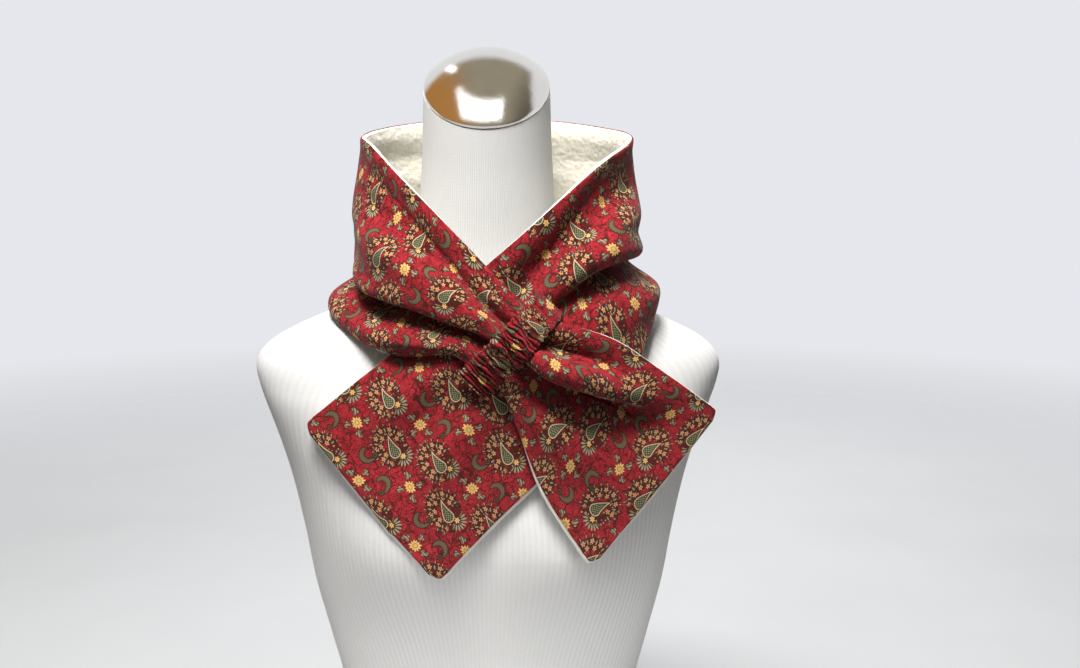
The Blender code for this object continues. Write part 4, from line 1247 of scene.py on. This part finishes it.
def loop_grids(trees):
    """The loop's outer and inner faces, drawn taut over the upper end, and their places on its cut."""
    run = LOOP_LOW_END - LOOP_HIGH_END
    side = Vector((run.z, 0, -run.x)).normalized()
    phase, share = gather_places()
    lanes = np.linspace(-0.5, 0.5, LOOP_LANES + 1)
    ground = np.zeros((len(share), len(lanes)))
    for i, a in enumerate(share):
        for j, lane in enumerate(lanes):
            place = LOOP_HIGH_END + run * a + side * (lane * LOOP_WIDTH)
            ground[i, j] = -front_of(trees, place.x, place.z)
    crest = ground.max(axis=1)
    crest[0], crest[-1] = ground[0].mean(), ground[-1].mean()
    taut = np.maximum(upper_hull(share * run.length, crest)[:, None], ground) + LOOP_GAP
    a, lane = np.meshgrid(share, lanes, indexing="ij")
    ridge = np.abs(np.sin(math.pi * phase))[:, None]
    number = np.floor(phase)[:, None]
    uneven = 1 - LOOP_UNEVEN + LOOP_UNEVEN * np.sin(number * 2.4 + lane * (2.0 + 1.5 * np.sin(number * 1.7)))
    wave = ridge ** 0.85 * gather_depth(a) * uneven
    rounding = 1 - np.abs(2 * lane) ** 4
    wander = LOOP_WANDER[0] * np.sin(lane * 7.0 + a * 31.0)
    wander += LOOP_WANDER[1] * np.sin(lane * 15.0 - a * 53.0)
    slide = a + wander * np.sin(a * math.pi) / run.length
    pinch = 1 - LOOP_PINCH + LOOP_PINCH * ridge * (0.6 + 0.4 * np.sin(number * 3.1))
    width = LOOP_WIDTH * pinch
    x = LOOP_HIGH_END.x + run.x * slide + side.x * lane * width
    z = LOOP_HIGH_END.z + run.z * slide + side.z * lane * width
    rise = LOOP_THICKNESS * (0.3 + 0.4 * rounding) + LOOP_PUFF * wave * (0.30 + 0.70 * rounding)
    inner = np.stack([x, -taut, z], axis=2)
    outer = np.stack([x, -taut - rise, z], axis=2)
    flat = np.stack([a * LOOP_CUT[1], lane * LOOP_CUT[0]], axis=2) + LOOP_PRINT_PLACE
    return outer[:, ::-1], inner[:, ::-1], flat[:, ::-1]


def settings_of(context):
    return context.scene.neck_warmer


def cloth_of(settings):
    return fine_cloth(settings.row_step, settings.column_step)


class NECKWARMER_OT_shell(Operator):
    """Build the band's printed cotton shell"""

    bl_idname = "neck_warmer.shell"
    bl_label = "Printed shell"

    def execute(self, context):
        settings = settings_of(context)
        cloth = cloth_of(settings)
        mesh = wall_mesh("printed_shell", *shell_faces(cloth), flat_places(cloth))
        material = printed_cotton(settings, "printed_cotton")
        nodes = ("shell_under_end", "shell_collar_back", "shell_over_end")
        thing = add_piece("printed_shell", mesh, material, "printed_cotton", *nodes)
        return {"FINISHED"}


class NECKWARMER_OT_fleece(Operator):
    """Build the band's fleece lining"""

    bl_idname = "neck_warmer.fleece"
    bl_label = "Fleece lining"

    def execute(self, context):
        settings = settings_of(context)
        cloth = cloth_of(settings)
        face, back = fleece_faces(cloth, settings)
        mesh = wall_mesh("fleece_lining", face, back)
        nodes = ("lining_under_end", "lining_collar_back", "lining_over_end")
        lining = add_piece("fleece_lining", mesh, boa_fleece(settings), "boa_fleece", *nodes)
        return {"FINISHED"}


class NECKWARMER_OT_loop(Operator):
    """Build the gathered elastic loop"""

    bl_idname = "neck_warmer.loop"
    bl_label = "Gathered loop"

    def execute(self, context):
        settings = settings_of(context)
        cloth = cloth_of(settings)
        front = shell_front(cloth)
        trees = [sheet_tree(front[: cloth.back_row]), sheet_tree(front[cloth.over_row :])]
        mesh = wall_mesh("gathered_loop", *loop_grids(trees))
        material = printed_cotton(settings, "gathered_cotton")
        thing = add_piece("gathered_loop", mesh, material, "printed_cotton", "elastic_loop")
        return {"FINISHED"}


class NECKWARMER_OT_form(Operator):
    """Build the dress form's jersey cover"""

    bl_idname = "neck_warmer.form"
    bl_label = "Dress form"

    def execute(self, context):
        settings = settings_of(context)
        steps = len(RINGS) - 1
        fine = np.linspace(0, steps, steps * RING_STEPS + 1)
        rings = ring_points(FORM_SIDES, spline(np.arange(len(RINGS)), RINGS, fine))
        rings[..., :2] *= 1 - FORM_INSET / np.linalg.norm(rings[..., :2], axis=2, keepdims=True)
        count, sides = rings.shape[:2]
        points = np.concatenate([rings.reshape(-1, 3), [BASE_MIDDLE], [rings[-1].mean(axis=0)]])
        wall = tube_faces(count, sides)[:, [0, 3, 2, 1]]
        base = fan_faces(0, sides, count * sides, down=True)
        top = fan_faces((count - 1) * sides, sides, count * sides + 1)
        mesh = make_mesh("form_cover", centred(points), wall, base, top)
        mesh.set_sharp_from_angle(angle=SHARP_ANGLE)
        add_piece("form_cover", mesh, rib_knit(settings), "white_jersey", "dress_form")
        return {"FINISHED"}


class NECKWARMER_OT_cap(Operator):
    """Build the polished cap of the form's neck"""

    bl_idname = "neck_warmer.cap"
    bl_label = "Polished cap"

    def execute(self, context):
        settings = settings_of(context)
        top = RINGS[-1]
        radius = top.half_width * MM - CAP_INSET
        sphere = (radius**2 + CAP_DOME**2) / (2 * CAP_DOME)
        turns = np.linspace(0, math.asin(radius / sphere), CAP_STEPS + 1)[1:]
        profile = [(sphere * math.sin(t), CAP_RIM + CAP_DOME - sphere * (1 - math.cos(t))) for t in turns]
        edge = radius + CAP_LIP
        profile += [(edge, CAP_RIM * 0.8), (edge, CAP_RIM * 0.2), (radius - CAP_TUCK, 0.0)]
        angles = np.arange(CAP_SIDES) * 2 * math.pi / CAP_SIDES
        depth = (top.back - top.front) / 2 * MM / math.cos(NECK_SLANT) - CAP_INSET
        ring = np.stack([np.cos(angles), depth / radius * np.sin(angles), np.zeros(CAP_SIDES)], axis=1)
        rings = [ring * r + (0.0, 0.0, z) for r, z in profile]
        points = np.concatenate([*rings, [[0.0, 0.0, CAP_RIM + CAP_DOME]], [[0.0, 0.0, 0.0]]])
        c, s = math.cos(NECK_SLANT), math.sin(NECK_SLANT)
        points = points @ np.array([[1, 0, 0], [0, c, s], [0, -s, c]])
        middle = (top.back + top.front) / 2 * MM
        points += (0.0, middle, top.height * MM + math.tan(NECK_SLANT) * middle)
        points += np.array((0.0, -s, c)) * SEAM_GAP
        crown = fan_faces(0, CAP_SIDES, len(points) - 2)
        under = fan_faces((len(profile) - 1) * CAP_SIDES, CAP_SIDES, len(points) - 1, down=True)
        wall = tube_faces(len(profile), CAP_SIDES)
        mesh = make_mesh("neck_dome", centred(points), crown, wall, under)
        mesh.set_sharp_from_angle(angle=SHARP_ANGLE)
        add_piece("neck_dome", mesh, polished_chrome(settings), "polished_chrome", "neck_cap")
        return {"FINISHED"}


def add_floor():
    """A pale floor that fades out far from the form."""
    angles = np.arange(FLOOR_SIDES) * 2 * math.pi / FLOOR_SIDES
    ring = np.stack([np.cos(angles), np.sin(angles), np.zeros(FLOOR_SIDES)], axis=1)
    points = np.concatenate([ring * r for r in FLOOR_RINGS]) - (0.0, 0.0, FLOOR_DROP)
    mesh = make_mesh("floor", points, tube_faces(len(FLOOR_RINGS), FLOOR_SIDES))
    material, tree, shader = new_material("pale_floor", {"Roughness": 0.7})
    mesh.materials.append(material)
    place = object_place(tree)
    colour = blend_colours(tree, noise_value(tree, place, 6.0, detail=3.0), FLOOR_DARK, FLOOR_LIGHT)
    bounced = Value(tree, add_node(tree, "LightPath").outputs["Is Diffuse Ray"])
    tree.links.new(blend_colours(tree, bounced, colour, FLOOR_BOUNCE), shader.inputs["Base Color"])
    x, y, _ = split(tree, place)
    tree.links.new(length_of(x, y).ramp(*FLOOR_FADE).socket, shader.inputs["Alpha"])
    floor = bpy.data.objects.new("floor", mesh)
    bpy.context.scene.collection.objects.link(floor)


def add_lamp(lamp, key_power):
    light = bpy.data.lights.new(lamp.name, "AREA")
    light.shape = "RECTANGLE"
    light.size, light.size_y = lamp.size
    light.spread = math.radians(lamp.spread)
    light.energy = key_power * lamp.share
    light.color = lamp.colour
    thing = bpy.data.objects.new(lamp.name, light)
    bpy.context.scene.collection.objects.link(thing)
    thing.location = lamp.place
    thing.rotation_euler = (Vector(lamp.aim) - Vector(lamp.place)).to_track_quat("-Z", "Y").to_euler()
    thing.visible_glossy = False


def make_world():
    """A room that is white behind the form and far to its sides, and warm and dim on the side that the
    form faces, with a bright window high on that side and a small bright lamp high behind the form. It
    lights the cloth much less than the lamps do."""
    world = bpy.data.worlds.new("pale_room")
    bpy.context.scene.world = world
    world.use_nodes = True
    tree = world.node_tree
    background = tree.nodes["Background"]
    x, y, z = split(tree, add_node(tree, "TexCoord").outputs["Generated"])
    room = blend_colours(tree, x.ramp(2.6, 1.65), WARM_WALL, DIM_WALL)
    room = blend_colours(tree, x.ramp(3.0, -1.2), room, DARK_WALL)
    behind = y + (x - 0.45).highest(0.0) * 2.0 + (x * -1.0 - 0.75).highest(0.0) * 2.0
    room = blend_colours(tree, behind.ramp(7.0, -3.7), room, WHITE_WALL)
    window = (abs(x + 0.10) - 0.40).inside(0.04) * (abs(z - 0.75) - 0.12).inside(0.04) * y.inside(0.01)
    lamp = (abs(x + 0.42) - 0.03).inside(0.01) * (abs(z - 0.72) - 0.07).inside(0.02) * (0.0 - y).inside(0.01)
    room = blend_colours(tree, window.highest(lamp), room, WINDOW)
    rays = add_node(tree, "LightPath").outputs
    colour = blend_colours(tree, Value(tree, rays["Is Camera Ray"]), room, BACKDROP)
    tree.links.new(colour, background.inputs["Color"])
    strength = Value(tree, rays["Is Diffuse Ray"]) * (DIFFUSE_ROOM - 1.0) + 1.0
    tree.links.new(strength.socket, background.inputs["Strength"])


def add_camera():
    camera = bpy.data.cameras.new("camera")
    camera.sensor_width = SENSOR_WIDTH
    camera.lens = CAMERA_FOCAL_PIXELS / PHOTO_WIDTH * SENSOR_WIDTH
    camera.clip_start, camera.clip_end = 0.01, 50
    viewer = bpy.data.objects.new("camera", camera)
    bpy.context.scene.collection.objects.link(viewer)
    towards = Vector((0, -math.cos(CAMERA_ELEVATION), math.sin(CAMERA_ELEVATION)))
    viewer.location = CAMERA_TARGET + towards * CAMERA_DISTANCE
    viewer.rotation_euler = (-towards).to_track_quat("-Z", "Y").to_euler()
    bpy.context.scene.camera = viewer


class NECKWARMER_OT_stage(Operator):
    """Build the floor, the lights and the camera"""

    bl_idname = "neck_warmer.stage"
    bl_label = "Floor, lights and camera"

    def execute(self, context):
        add_floor()
        for lamp in LAMPS:
            add_lamp(lamp, settings_of(context).key_power)
        make_world()
        add_camera()
        context.scene.view_settings.view_transform = "Standard"
        return {"FINISHED"}


OPERATORS = (
    NECKWARMER_OT_form,
    NECKWARMER_OT_cap,
    NECKWARMER_OT_fleece,
    NECKWARMER_OT_shell,
    NECKWARMER_OT_loop,
    NECKWARMER_OT_stage,
)


class NECKWARMER_PT_sidebar(Panel):
    bl_idname = "NECKWARMER_PT_sidebar"
    bl_label = "Neck warmer"
    bl_space_type = "VIEW_3D"
    bl_region_type = "UI"
    bl_category = "Neck warmer"

    def draw(self, context):
        for name in NeckWarmerSettings.__annotations__:
            self.layout.prop(settings_of(context), name)
        for operator in OPERATORS:
            self.layout.operator(operator.bl_idname)


CLASSES = (NeckWarmerSettings, *OPERATORS, NECKWARMER_PT_sidebar)


def register():
    for cls in CLASSES:
        bpy.utils.register_class(cls)
    bpy.types.Scene.neck_warmer = PointerProperty(type=NeckWarmerSettings)


def unregister():
    del bpy.types.Scene.neck_warmer
    for cls in reversed(CLASSES):
        bpy.utils.unregister_class(cls)


def main():
    register()
    bpy.ops.neck_warmer.form()
    bpy.ops.neck_warmer.cap()
    bpy.ops.neck_warmer.fleece()
    bpy.ops.neck_warmer.shell()
    bpy.ops.neck_warmer.loop()
    bpy.ops.neck_warmer.stage()


if __name__ == "__main__":
    main()
